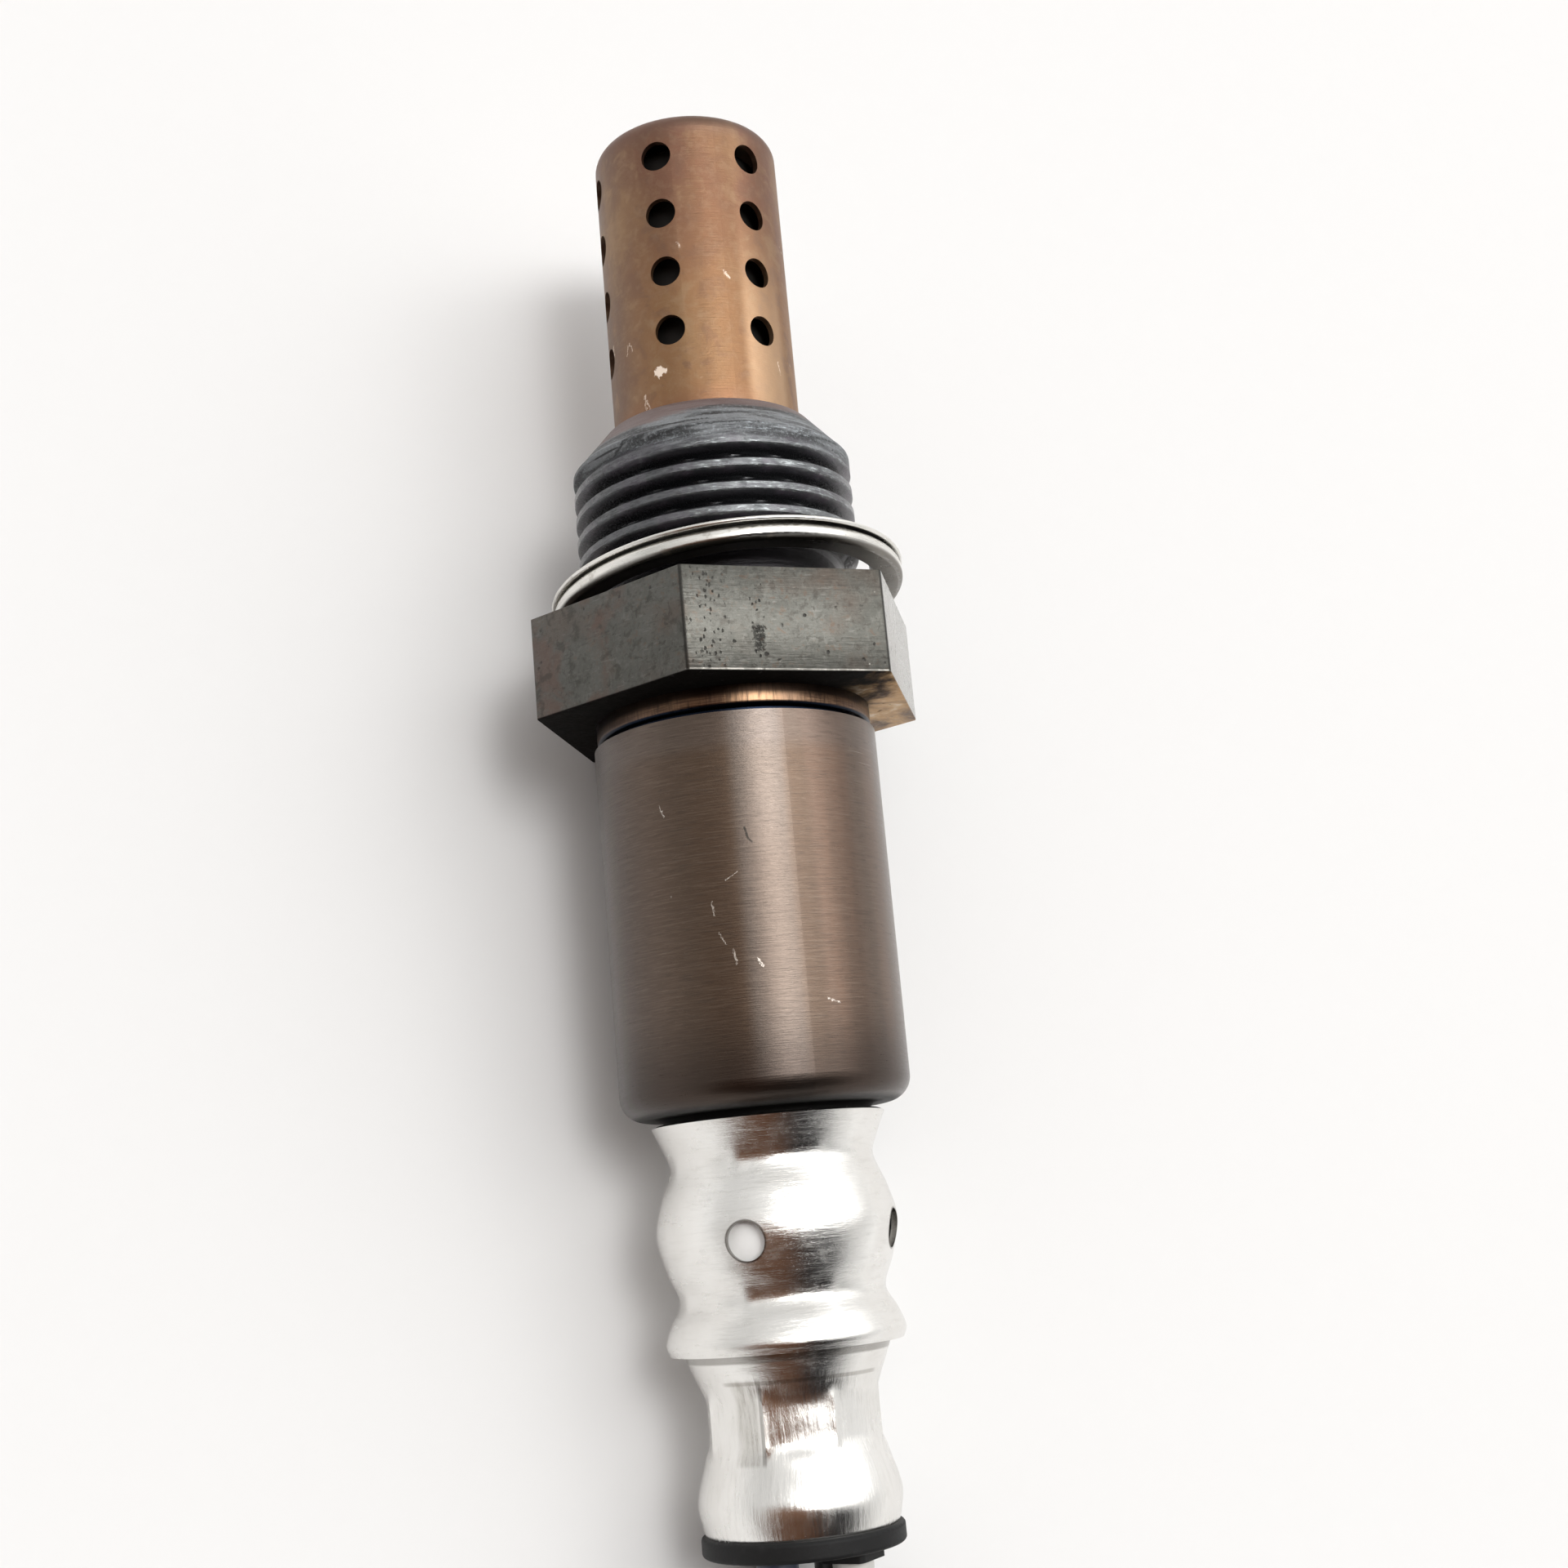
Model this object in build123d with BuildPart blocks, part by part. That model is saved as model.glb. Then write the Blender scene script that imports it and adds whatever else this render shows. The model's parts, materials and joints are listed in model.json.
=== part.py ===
from build123d import *
from math import acos, atan2, cos, degrees, hypot, pi, radians, sin, sqrt, tan
import os

# A heated thimble-type oxygen sensor with an M18 thread. It lies on its side: the rear edge of the
# hexagon's lower flat and the rear shoulder of the sleeve rest on the floor, so the nose points a few
# degrees upwards. Its four leads gather into a woven sleeving that is folded into a tied hank.
#
# World frame, millimetres: +Y is the way the nose points, +Z is up and z = 0 is the floor.
# Along the sensor a place is given as a station, counted from the seat face of the hexagon: positive
# towards the nose, negative towards the leads. An azimuth is counted from the upper side of the
# sensor towards +X.

# ---------------------------------------------------------------- driving dimensions
# Housing: turned and forged steel, with the thread and the hexagon
hex_across_flats = 22.0
hex_length = 6.46
neck_radius = 8.0
neck_length = 2.9
thread_radius = 9.0
thread_start = 3.4
thread_end = 10.3
thread_lead_in = 0.25
housing_front = 12.6
housing_front_radius = 6.75
lip_rounding = 0.45
collar_radius = 8.65
collar_length = 1.35
collar_rounding = 0.35
housing_rear = -11.2
housing_bore_radius = 6.2
crimp_lip_thickness = 0.6
crimp_lip_radius = 5.5
front_bore_radius = 4.6
cover_recess_radius = 7.3
cover_seat = 9.9

# Protection covers over the ceramic thimble
outer_cover_radius = 6.05
outer_cover_tip = 33.0
outer_cover_wall = 0.4
outer_cover_corner = 1.2
inner_cover_radius = 4.8
inner_cover_tip = 31.4
inner_cover_wall = 0.35
inner_cover_corner = 1.0
cover_flange_radius = 7.2
gas_hole_diameter = 2.0
gas_hole_first = 29.95
gas_hole_pitch = 4.04
gas_hole_rows = 4
gas_hole_columns = 6
gas_hole_azimuth = -37.0
inner_hole_diameter = 1.5

# Ceramic thimble, its heater and its two contacts
element_tip = 28.6
element_tip_radius = 2.75
element_root_radius = 3.6
element_root_land = 1.5
element_flange_radius = 6.0
element_flange_rear = -1.2
element_rear = -15.5
element_rear_radius = 4.3
element_bore_radius = 1.75
element_bore_end = 27.1
heater_radius = 1.4
heater_rear = -29.6
heater_chamfer = 0.3
contact_sheet = 0.35
contact_flange_width = 0.5
contact_tab_width = 1.8
contact_overlap = 1.0
contact_gap = 0.3
contact_foot_gap = 0.4

# Gland that seals the thimble in the housing
seat_cone_sum = 8.2
packing_thickness = 0.7
packing_inner_gap = 0.2
packing_outer_gap = 0.1
talc_rear = -5.6
seal_bush_rear = -9.6

# Loose folded gasket between the hexagon and the thread
gasket_radius = 11.3
gasket_bore_radius = 9.25
gasket_sheet = 0.3
gasket_roll = 1.05
gasket_seam = 0.12
gasket_leaf_gap = 0.6
gasket_lip_inset = 0.05
gasket_lean = 5.0
gasket_lean_azimuth = 30.0
gasket_shift_across = 0.6
gasket_drop = 0.25

# Sleeve over the ceramic insulator
sleeve_radius = 8.88
sleeve_wall = 0.6
sleeve_front = -8.1
sleeve_rear = -31.15
sleeve_rounding = 1.5
sleeve_neck_radius = 6.25
sleeve_neck_end = -32.7
sleeve_neck_rounding = 0.5

# Ceramic insulator and the spring that holds it
insulator_front = -17.4
insulator_rear = -27.9
insulator_radius = 8.0
insulator_step = 1.6
insulator_step_depth = 1.5
spring_sheet = 0.4
spring_inner_radius = 5.9
spring_dish = 1.0

# Terminals: a pin through the insulator and a barrel crimped on the lead
terminal_pin_radius = 0.8
heater_pin_depth = 4.0
heater_tab_length = 1.3
barrel_front = -30.2
barrel_step = -33.0
barrel_rear = -37.0
barrel_wall = 0.22

# Rear casing, water-repellent filter and its vented cover: outer radii by station
casing_wall = 0.4
casing_front = -29.6
casing_radius = 5.3
casing_step = 0.8
casing_shoulder = (-45.2, 6.25)
crimp_front = -47.2
crimp_rear = -50.6
crimp_radius = 5.3
crimp_hollow = 0.06
casing_bulge = (-53.3, 6.0)
casing_rear = -55.15
casing_rear_radius = 5.7
crimp_jaws = 8
crimp_ridge_azimuth = -38.5
crimp_ridge_width = 0.4
crimp_ridge_height = 0.1
crimp_ridge_inset = 0.3
crimp_flat_depth = 0.2
crimp_flat_overrun = 0.15
crimp_flat_runout = 0.7
filter_front = -33.9
filter_rear = -43.4
filter_thickness = 0.5
filter_swell = 0.78
filter_swell_reach = 3.1
cover_wall = 0.35
cover_lip = (-31.65, 7.1)
cover_front_neck = (-34.2, 6.2)
cover_bulge = (-38.0, 7.26)
cover_rear_neck = (-41.95, 6.2)
cover_flare = (-44.5, 7.2)
cover_rear = -44.95
cover_rear_radius = 6.95
cover_ridge_height = 0.06
cover_ridge_reach = 1.1
vent_diameter = 2.25
vent_station = -38.65
vent_azimuth = -34.6
vent_count = 4
casing_vent_diameter = 1.6

# Grommet with the four leads
grommet_flange_radius = 5.98
grommet_flange_thickness = 1.15
grommet_rim_rounding = 0.25
grommet_front = -46.3
grommet_squeeze_gap = 0.2
grommet_land = 0.5
boss_size = 2.9
boss_height = 0.65
boss_rounding = 0.4
lead_diameter = 2.4
lead_circle_radius = 3.14
lead_azimuths = {"blue": -51.0, "white": 39.0, "black": 129.0, "grey": 219.0}
bossed_leads = ("white", "grey")

# Woven sleeving, the collar where the leads enter it, and the tie
sleeving_diameter = 6.2
shrink_wall = 0.7
shrink_height = 3.8
shrink_length = 14.0
shrink_taper_length = 2.0
shrink_taper = 0.35
lead_spacing = 2.52
lead_first_run = 7.5
lead_last_run = 7.5
sleeving_first_run = 12.0
sleeving_last_run = 13.0
tie_width = 3.6
tie_band = 0.9
tie_slack = 0.05
tie_head = (5.2, 4.6, 4.4)
tie_head_sink = 0.2
tie_head_rounding = 0.6
strand_gap = 0.32
hank_taper_length = 34.4
hank_loop_radius = 22.4
hank_rounding = 2.0

# Where things lie along the free leads: y of the collar's mouth, then lengths counted from there
leads_reach = -84.0
tie_distance = 67.0
hank_distance = 72.0
waist_run = 14.0
bend_distance = 42.0
bend_side = -3.9
connector_distance = 28.0

# Connector at the far end
connector_side_shift = 11.8
connector_turn = 16.0
boot_length = 12.0
boot_entry_radius = 4.6
boot_inset = 1.0
connector_width = 21.0
connector_height = 16.0
connector_corner = 2.6
connector_length = 27.0
connector_socket_depth = 13.0
connector_wall = 1.6
connector_socket_corner = 1.4
grip_ridge_height = 0.9
grip_ridge_length = 1.6
latch_width = 6.4
latch_start = 4.0
latch_length = 15.0
latch_foot = 2.5
latch_thickness = 1.5
latch_gap = 1.7
blade_width = 2.8
blade_thickness = 0.8
blade_length = 19.0
blade_pitch = (8.0, 5.6)
wedge_height = 2.2
wedge_depth = 3.0
wedge_overhang = 1.0
face_seal_thickness = 1.1
face_seal_length = 3.0

# Named clearances
slide_fit = 0.04
shell_fit = 0.02
lead_fit = 0.03
# How far a cutting tool runs past the face it leaves
cut_past = 1.0

# ---------------------------------------------------------------- how the sensor lies
# Seen from the side, the floor touches the hexagon's rear edge and the rounding of the sleeve's rear.
rest_rise = hex_across_flats / 2 - (sleeve_radius - sleeve_rounding)
rest_run = -(sleeve_rear + sleeve_rounding) - hex_length
rest_tilt = degrees(acos(sleeve_rounding / hypot(rest_rise, rest_run)) - atan2(rest_run, rest_rise))
tilt_cos = cos(radians(rest_tilt))
tilt_sin = sin(radians(rest_tilt))
grommet_rear = casing_rear - grommet_flange_thickness

nose_reach = ((outer_cover_tip - outer_cover_corner) * tilt_cos
              + (outer_cover_radius - outer_cover_corner) * tilt_sin + outer_cover_corner)
boss_top = lead_circle_radius * cos(radians(lead_azimuths["white"])) + boss_size / 2
tail_reach = (boss_height - grommet_rear) * tilt_cos + boss_top * tilt_sin
seat_y = (tail_reach - nose_reach) / 2
seat_z = hex_across_flats / 2 * tilt_cos + hex_length * tilt_sin

across = Vector(1, 0, 0)
nose_way = Vector(0, tilt_cos, tilt_sin)
upright = Vector(0, -tilt_sin, tilt_cos)
seat_centre = Vector(0, seat_y, seat_z)
sensor_axis = Axis(seat_centre, nose_way)


def outward(azimuth):
    """The direction away from the sensor's axis at an azimuth."""
    return across * sin(radians(azimuth)) + upright * cos(radians(azimuth))


def section_plane(azimuth=0):
    """Half section through the axis: x is the station and y the radius at the azimuth."""
    return Plane(origin=seat_centre, x_dir=nose_way, z_dir=nose_way.cross(outward(azimuth)))


def drill_plane(azimuth):
    """Plane through the axis that faces outwards at the azimuth, with x as the station."""
    return Plane(origin=seat_centre, x_dir=nose_way, z_dir=outward(azimuth))


def cross_plane(station):
    """Cut across the axis, seen from behind: x is to the right, y is up and z runs to the leads."""
    return Plane(origin=seat_centre + nose_way * station, x_dir=across, z_dir=nose_way * -1)


def lead_spot(azimuth):
    """Where a lead stands in a cross plane."""
    return (lead_circle_radius * sin(radians(azimuth)), lead_circle_radius * cos(radians(azimuth)))


def sheet_profile(stations, wall):
    """Closed section of a drawn shell: a smooth outer line and one a wall's thickness inside it."""
    inner = [(station, radius - wall) for station, radius in stations]
    Spline(*stations)
    Line(stations[-1], inner[-1])
    Spline(*inner[::-1])
    Line(inner[0], stations[0])


def keep(name, shape):
    """Label a finished piece and write it to its file."""
    shape.part.label = name
    export_step(shape.part, f"parts/{name}.step")


os.makedirs("parts", exist_ok=True)

# ---------------------------------------------------------------- housing
# One forging: hexagon, threaded barrel with a rolled front lip, and a rear skirt that takes the sleeve.
skirt_radius = sleeve_radius - sleeve_wall - shell_fit
collar_rear = -hex_length - collar_length
lip_rear = cover_seat + outer_cover_wall + inner_cover_wall
nose_bore_radius = outer_cover_radius + slide_fit

with BuildPart() as housing:
    with BuildSketch(cross_plane(0)):
        RegularPolygon(hex_across_flats / 2, 6, major_radius=False)
    extrude(amount=hex_length)
    with BuildSketch(section_plane()):
        with BuildLine():
            Polyline(
                (housing_front, 0),
                (housing_front, housing_front_radius),
                (thread_end, thread_radius - thread_lead_in),
                (thread_end - thread_lead_in, thread_radius),
                (thread_start, thread_radius),
                (neck_length, neck_radius),
                (0, neck_radius),
                (-hex_length, collar_radius),
                (collar_rear, collar_radius),
                (collar_rear, skirt_radius),
                (housing_rear, skirt_radius),
                (housing_rear, 0),
                close=True,
            )
        make_face()
        fillet(vertices().sort_by_distance((housing_front, housing_front_radius))[0], lip_rounding)
        fillet(vertices().sort_by_distance((collar_rear, collar_radius))[0], collar_rounding)
    revolve(axis=sensor_axis)
    with BuildSketch(section_plane()):
        with BuildLine():
            Polyline(
                (housing_front + cut_past, 0),
                (housing_front + cut_past, nose_bore_radius),
                (lip_rear, nose_bore_radius),
                (lip_rear, cover_recess_radius),
                (cover_seat, cover_recess_radius),
                (cover_seat, front_bore_radius),
                (seat_cone_sum - front_bore_radius, front_bore_radius),
                (seat_cone_sum - housing_bore_radius, housing_bore_radius),
                (housing_rear + crimp_lip_thickness, housing_bore_radius),
                (housing_rear + crimp_lip_thickness, crimp_lip_radius),
                (housing_rear - cut_past, crimp_lip_radius),
                (housing_rear - cut_past, 0),
                close=True,
            )
        make_face()
    revolve(axis=sensor_axis, mode=Mode.SUBTRACT)
keep("housing", housing)

# ---------------------------------------------------------------- protection covers


def flanged_cup(tip, radius, wall, corner, flange_front):
    """Section of a deep-drawn cup that is closed at the nose and flanged at its rear."""
    flange_rear = flange_front - wall
    with BuildSketch(section_plane()) as section:
        with BuildLine():
            outside = FilletPolyline((tip, 0), (tip, radius), (flange_front, radius), radius=corner)
            Polyline(outside @ 1, (flange_front, cover_flange_radius),
                     (flange_rear, cover_flange_radius), (flange_rear, radius - wall))
            inside = FilletPolyline((flange_rear, radius - wall), (tip - wall, radius - wall),
                                    (tip - wall, 0), radius=corner - wall)
            Line(inside @ 1, outside @ 0)
        make_face()
    return section.sketch


gas_hole_stations = [gas_hole_first - row * gas_hole_pitch for row in range(gas_hole_rows)]
column_step = 360 / gas_hole_columns
gas_hole_columns_at = [gas_hole_azimuth + column * column_step for column in range(gas_hole_columns)]

with BuildPart() as outer_cover:
    cup = flanged_cup(outer_cover_tip, outer_cover_radius, outer_cover_wall, outer_cover_corner,
                      lip_rear)
    revolve(cup, axis=sensor_axis)
    with BuildSketch(*[drill_plane(azimuth) for azimuth in gas_hole_columns_at]):
        with Locations(*[(station, 0) for station in gas_hole_stations]):
            Circle(gas_hole_diameter / 2)
    extrude(amount=outer_cover_radius + cut_past, mode=Mode.SUBTRACT)
keep("outer_cover", outer_cover)

# The inner cover's holes stand between those of the outer one, so the gas has to turn.
inner_hole_stations = [station - gas_hole_pitch / 2 for station in gas_hole_stations[:-1]]
inner_hole_columns = [azimuth + column_step / 2 for azimuth in gas_hole_columns_at]

with BuildPart() as inner_cover:
    cup = flanged_cup(inner_cover_tip, inner_cover_radius, inner_cover_wall, inner_cover_corner,
                      cover_seat + inner_cover_wall)
    revolve(cup, axis=sensor_axis)
    with BuildSketch(*[drill_plane(azimuth) for azimuth in inner_hole_columns]):
        with Locations(*[(station, 0) for station in inner_hole_stations]):
            Circle(inner_hole_diameter / 2)
    extrude(amount=inner_cover_radius + cut_past, mode=Mode.SUBTRACT)
keep("inner_cover", inner_cover)

# ---------------------------------------------------------------- ceramic thimble and its gland
element_cone_sum = seat_cone_sum - packing_thickness
bore_ball_centre = element_bore_end - element_bore_radius

with BuildPart() as sensing_element:
    with BuildSketch(section_plane()):
        with BuildLine():
            RadiusArc((element_tip, 0), (element_tip - element_tip_radius, element_tip_radius),
                      -element_tip_radius)
            Polyline(
                (element_tip - element_tip_radius, element_tip_radius),
                (element_cone_sum - element_root_radius + element_root_land, element_root_radius),
                (element_cone_sum - element_root_radius, element_root_radius),
                (element_cone_sum - element_flange_radius, element_flange_radius),
                (element_flange_rear, element_flange_radius),
                (element_flange_rear - element_flange_radius + element_rear_radius,
                 element_rear_radius),
                (element_rear, element_rear_radius),
                (element_rear, element_bore_radius),
                (bore_ball_centre, element_bore_radius),
            )
            RadiusArc((bore_ball_centre, element_bore_radius), (element_bore_end, 0),
                      element_bore_radius)
            Line((element_bore_end, 0), (element_tip, 0))
        make_face()
    revolve(axis=sensor_axis)
keep("sensing_element", sensing_element)

heater_tip = bore_ball_centre + sqrt(element_bore_radius ** 2 - heater_radius ** 2) - slide_fit

with BuildPart() as heater_rod:
    with BuildSketch(cross_plane(heater_tip)):
        Circle(heater_radius)
    extrude(amount=heater_tip - heater_rear)
    chamfer(heater_rod.faces().sort_by(sensor_axis)[-1].edges(), length=heater_chamfer)
keep("heater_rod", heater_rod)

packing_inner = front_bore_radius + packing_inner_gap
packing_outer = housing_bore_radius - packing_outer_gap

with BuildPart() as packing_washer:
    with BuildSketch(section_plane()):
        with BuildLine():
            Polyline(
                (seat_cone_sum - packing_inner, packing_inner),
                (seat_cone_sum - packing_outer, packing_outer),
                (element_cone_sum - packing_outer, packing_outer),
                (element_cone_sum - packing_inner, packing_inner),
                close=True,
            )
        make_face()
    revolve(axis=sensor_axis)
keep("packing_washer", packing_washer)

gland_inner = element_rear_radius + slide_fit
gland_outer = housing_bore_radius - slide_fit
element_taper_end = element_flange_rear - element_flange_radius + element_rear_radius


def gland_ring(front, rear):
    """A ring that fills the gap between the thimble's rear and the housing's bore."""
    with BuildPart() as ring:
        with BuildSketch(cross_plane(front)):
            Circle(gland_outer)
            Circle(gland_inner, mode=Mode.SUBTRACT)
        extrude(amount=front - rear)
    return ring


talc_ring = gland_ring(element_taper_end, talc_rear)
keep("talc_ring", talc_ring)
seal_bush = gland_ring(talc_rear, seal_bush_rear)
keep("seal_bush", seal_bush)
crimp_ring = gland_ring(seal_bush_rear, housing_rear + crimp_lip_thickness)
keep("crimp_ring", crimp_ring)

# ---------------------------------------------------------------- contacts on the thimble
signal_azimuth = lead_azimuths["blue"]
ground_azimuth = lead_azimuths["grey"]
contact_flange_rear = element_rear - contact_sheet
outer_contact_inside = element_rear_radius + shell_fit
outer_contact_radius = outer_contact_inside + contact_sheet
outer_contact_front = housing_rear - contact_gap
outer_contact_rear = insulator_front + contact_foot_gap


def section_strip(azimuths, front, rear, inside, outside):
    """Rectangles in the sections at the azimuths, from one station and radius to another."""
    with BuildSketch(*[section_plane(azimuth) for azimuth in azimuths]) as strip:
        with BuildLine():
            Polyline((front, inside), (front, outside), (rear, outside), (rear, inside), close=True)
        make_face()
    return strip.sketch


with BuildPart() as inner_contact:
    with BuildSketch(section_plane()):
        with BuildLine():
            tube_inside = heater_radius + shell_fit
            tube_outside = element_bore_radius - shell_fit
            flange_radius = element_bore_radius + contact_flange_width
            Polyline(
                (element_taper_end, tube_inside),
                (element_taper_end, tube_outside),
                (element_rear, tube_outside),
                (element_rear, flange_radius),
                (contact_flange_rear, flange_radius),
                (contact_flange_rear, tube_inside),
                close=True,
            )
        make_face()
    revolve(axis=sensor_axis)
    tab = section_strip([signal_azimuth], element_rear, contact_flange_rear, element_bore_radius,
                        lead_circle_radius + contact_tab_width / 2)
    extrude(tab, amount=contact_tab_width / 2, both=True)
keep("inner_contact", inner_contact)

with BuildPart() as outer_contact:
    with BuildSketch(cross_plane(outer_contact_front)):
        Circle(outer_contact_radius)
        Circle(outer_contact_inside, mode=Mode.SUBTRACT)
    extrude(amount=outer_contact_front - element_rear)
    strap = section_strip([ground_azimuth], element_rear + contact_overlap, outer_contact_rear,
                          outer_contact_inside, outer_contact_radius)
    extrude(strap, amount=contact_tab_width / 2, both=True)
    foot = section_strip([ground_azimuth], outer_contact_rear + contact_sheet, outer_contact_rear,
                         lead_circle_radius - contact_tab_width / 2, outer_contact_radius)
    extrude(foot, amount=contact_tab_width / 2, both=True)
keep("outer_contact", outer_contact)

# ---------------------------------------------------------------- loose folded gasket
# Sheet folded twice: a front leaf, a seam and a rolled rear edge. It stands on the floor and leans
# with its upper side towards the thread, its lower side against the hexagon.
lean_way = outward(gasket_lean_azimuth)
gasket_axis_way = nose_way * cos(radians(gasket_lean)) - lean_way * sin(radians(gasket_lean))
gasket_back = gasket_radius * sin(radians(gasket_lean)) + shell_fit
gasket_centre = (seat_centre + nose_way * gasket_back + across * gasket_shift_across
                 - upright * gasket_drop)
gasket_plane = Plane(origin=gasket_centre, x_dir=gasket_axis_way, z_dir=gasket_axis_way.cross(lean_way))
# Stations and radii of the sheet's middle line
rear_leaf = gasket_sheet / 2
fold_leaf = gasket_roll - gasket_sheet / 2
front_leaf = gasket_roll + gasket_seam + gasket_sheet / 2
outer_fold = gasket_radius - gasket_sheet / 2
inner_fold = gasket_bore_radius + gasket_sheet / 2

with BuildPart() as gasket:
    with BuildSketch(gasket_plane):
        with BuildLine():
            # From the free inner edge of the rear leaf, round the roll and the inner fold, to the
            # free outer edge of the front leaf.
            FilletPolyline(
                (rear_leaf, gasket_bore_radius + gasket_leaf_gap),
                (rear_leaf, outer_fold),
                (fold_leaf, outer_fold),
                (fold_leaf, inner_fold),
                (front_leaf, inner_fold),
                (front_leaf, gasket_radius - gasket_lip_inset),
                radius=0.495 * (gasket_sheet + gasket_seam),
            )
            offset(amount=gasket_sheet / 2, side=Side.BOTH)
        make_face()
    revolve(axis=Axis(gasket_centre, gasket_axis_way))
keep("gasket", gasket)

# ---------------------------------------------------------------- sleeve and insulator
with BuildPart() as sleeve:
    with BuildSketch(section_plane()):
        with BuildLine():
            outside = FilletPolyline(
                (sleeve_front, sleeve_radius),
                (sleeve_rear, sleeve_radius),
                (sleeve_rear, sleeve_neck_radius),
                (sleeve_neck_end, sleeve_neck_radius),
                radius=[sleeve_rounding, sleeve_neck_rounding],
            )
            inside = FilletPolyline(
                (sleeve_neck_end, sleeve_neck_radius - sleeve_wall),
                (sleeve_rear + sleeve_wall, sleeve_neck_radius - sleeve_wall),
                (sleeve_rear + sleeve_wall, sleeve_radius - sleeve_wall),
                (sleeve_front, sleeve_radius - sleeve_wall),
                radius=[sleeve_neck_rounding + sleeve_wall, sleeve_rounding - sleeve_wall],
            )
            Line(outside @ 1, inside @ 0)
            Line(inside @ 1, outside @ 0)
        make_face()
    revolve(axis=sensor_axis)
keep("sleeve", sleeve)

with BuildPart() as insulator:
    with BuildSketch(cross_plane(insulator_front)):
        Circle(insulator_radius - insulator_step_depth)
    extrude(amount=insulator_step)
    with BuildSketch(cross_plane(insulator_front - insulator_step)):
        Circle(insulator_radius)
    extrude(amount=insulator_front - insulator_step - insulator_rear)
    with BuildSketch(cross_plane(insulator_front)):
        Circle(heater_radius + slide_fit)
        with Locations(*[lead_spot(azimuth) for azimuth in lead_azimuths.values()]):
            Circle(terminal_pin_radius + slide_fit)
    extrude(amount=insulator_front - insulator_rear, mode=Mode.SUBTRACT)
keep("insulator", insulator)

# A dished washer between the insulator and the sleeve's shoulder takes up the slack.
shoulder_inside = sleeve_rear + sleeve_wall

with BuildPart() as insulator_spring:
    with BuildSketch(section_plane()):
        with BuildLine():
            Polyline(
                (insulator_rear, spring_inner_radius),
                (insulator_rear, spring_inner_radius + spring_sheet),
                (shoulder_inside, spring_inner_radius + spring_sheet + spring_dish),
                (shoulder_inside, spring_inner_radius + spring_dish),
                close=True,
            )
        make_face()
    revolve(axis=sensor_axis)
keep("insulator_spring", insulator_spring)

# ---------------------------------------------------------------- terminals
lead_radius = lead_diameter / 2
barrel_inside = lead_radius + shell_fit
heater_pin_front = insulator_front - heater_pin_depth
pin_fronts = {
    "blue": contact_flange_rear,
    "grey": outer_contact_rear,
    "white": heater_pin_front,
    "black": heater_pin_front,
}
terminal_names = {
    "blue": "signal_terminal",
    "grey": "ground_terminal",
    "white": "heater_terminal_a",
    "black": "heater_terminal_b",
}

for colour, azimuth in lead_azimuths.items():
    with BuildPart() as terminal:
        with BuildSketch(cross_plane(pin_fronts[colour])):
            with Locations(lead_spot(azimuth)):
                Circle(terminal_pin_radius)
        extrude(amount=pin_fronts[colour] - barrel_front)
        with BuildSketch(cross_plane(barrel_front)):
            with Locations(lead_spot(azimuth)):
                Circle(barrel_inside + barrel_wall)
        extrude(amount=barrel_front - barrel_rear)
        with BuildSketch(cross_plane(barrel_step)):
            with Locations(lead_spot(azimuth)):
                Circle(barrel_inside)
        extrude(amount=barrel_step - barrel_rear, mode=Mode.SUBTRACT)
        if terminal_names[colour].startswith("heater"):
            # A tab bears on the end of the heater rod, behind the insulator.
            tab = section_strip([azimuth], heater_rear + heater_tab_length, heater_rear,
                                heater_radius + shell_fit, lead_circle_radius)
            extrude(tab, amount=contact_sheet, both=True)
    keep(terminal_names[colour], terminal)

# ---------------------------------------------------------------- rear casing, filter and cover
casing_front_radius = sleeve_neck_radius - sleeve_wall - shell_fit
ridge_azimuths = [crimp_ridge_azimuth + jaw * 360 / crimp_jaws for jaw in range(crimp_jaws)]
jaw_azimuths = [azimuth + 180 / crimp_jaws for azimuth in ridge_azimuths]
vent_azimuths = [vent_azimuth + vent * 360 / vent_count for vent in range(vent_count)]

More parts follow.
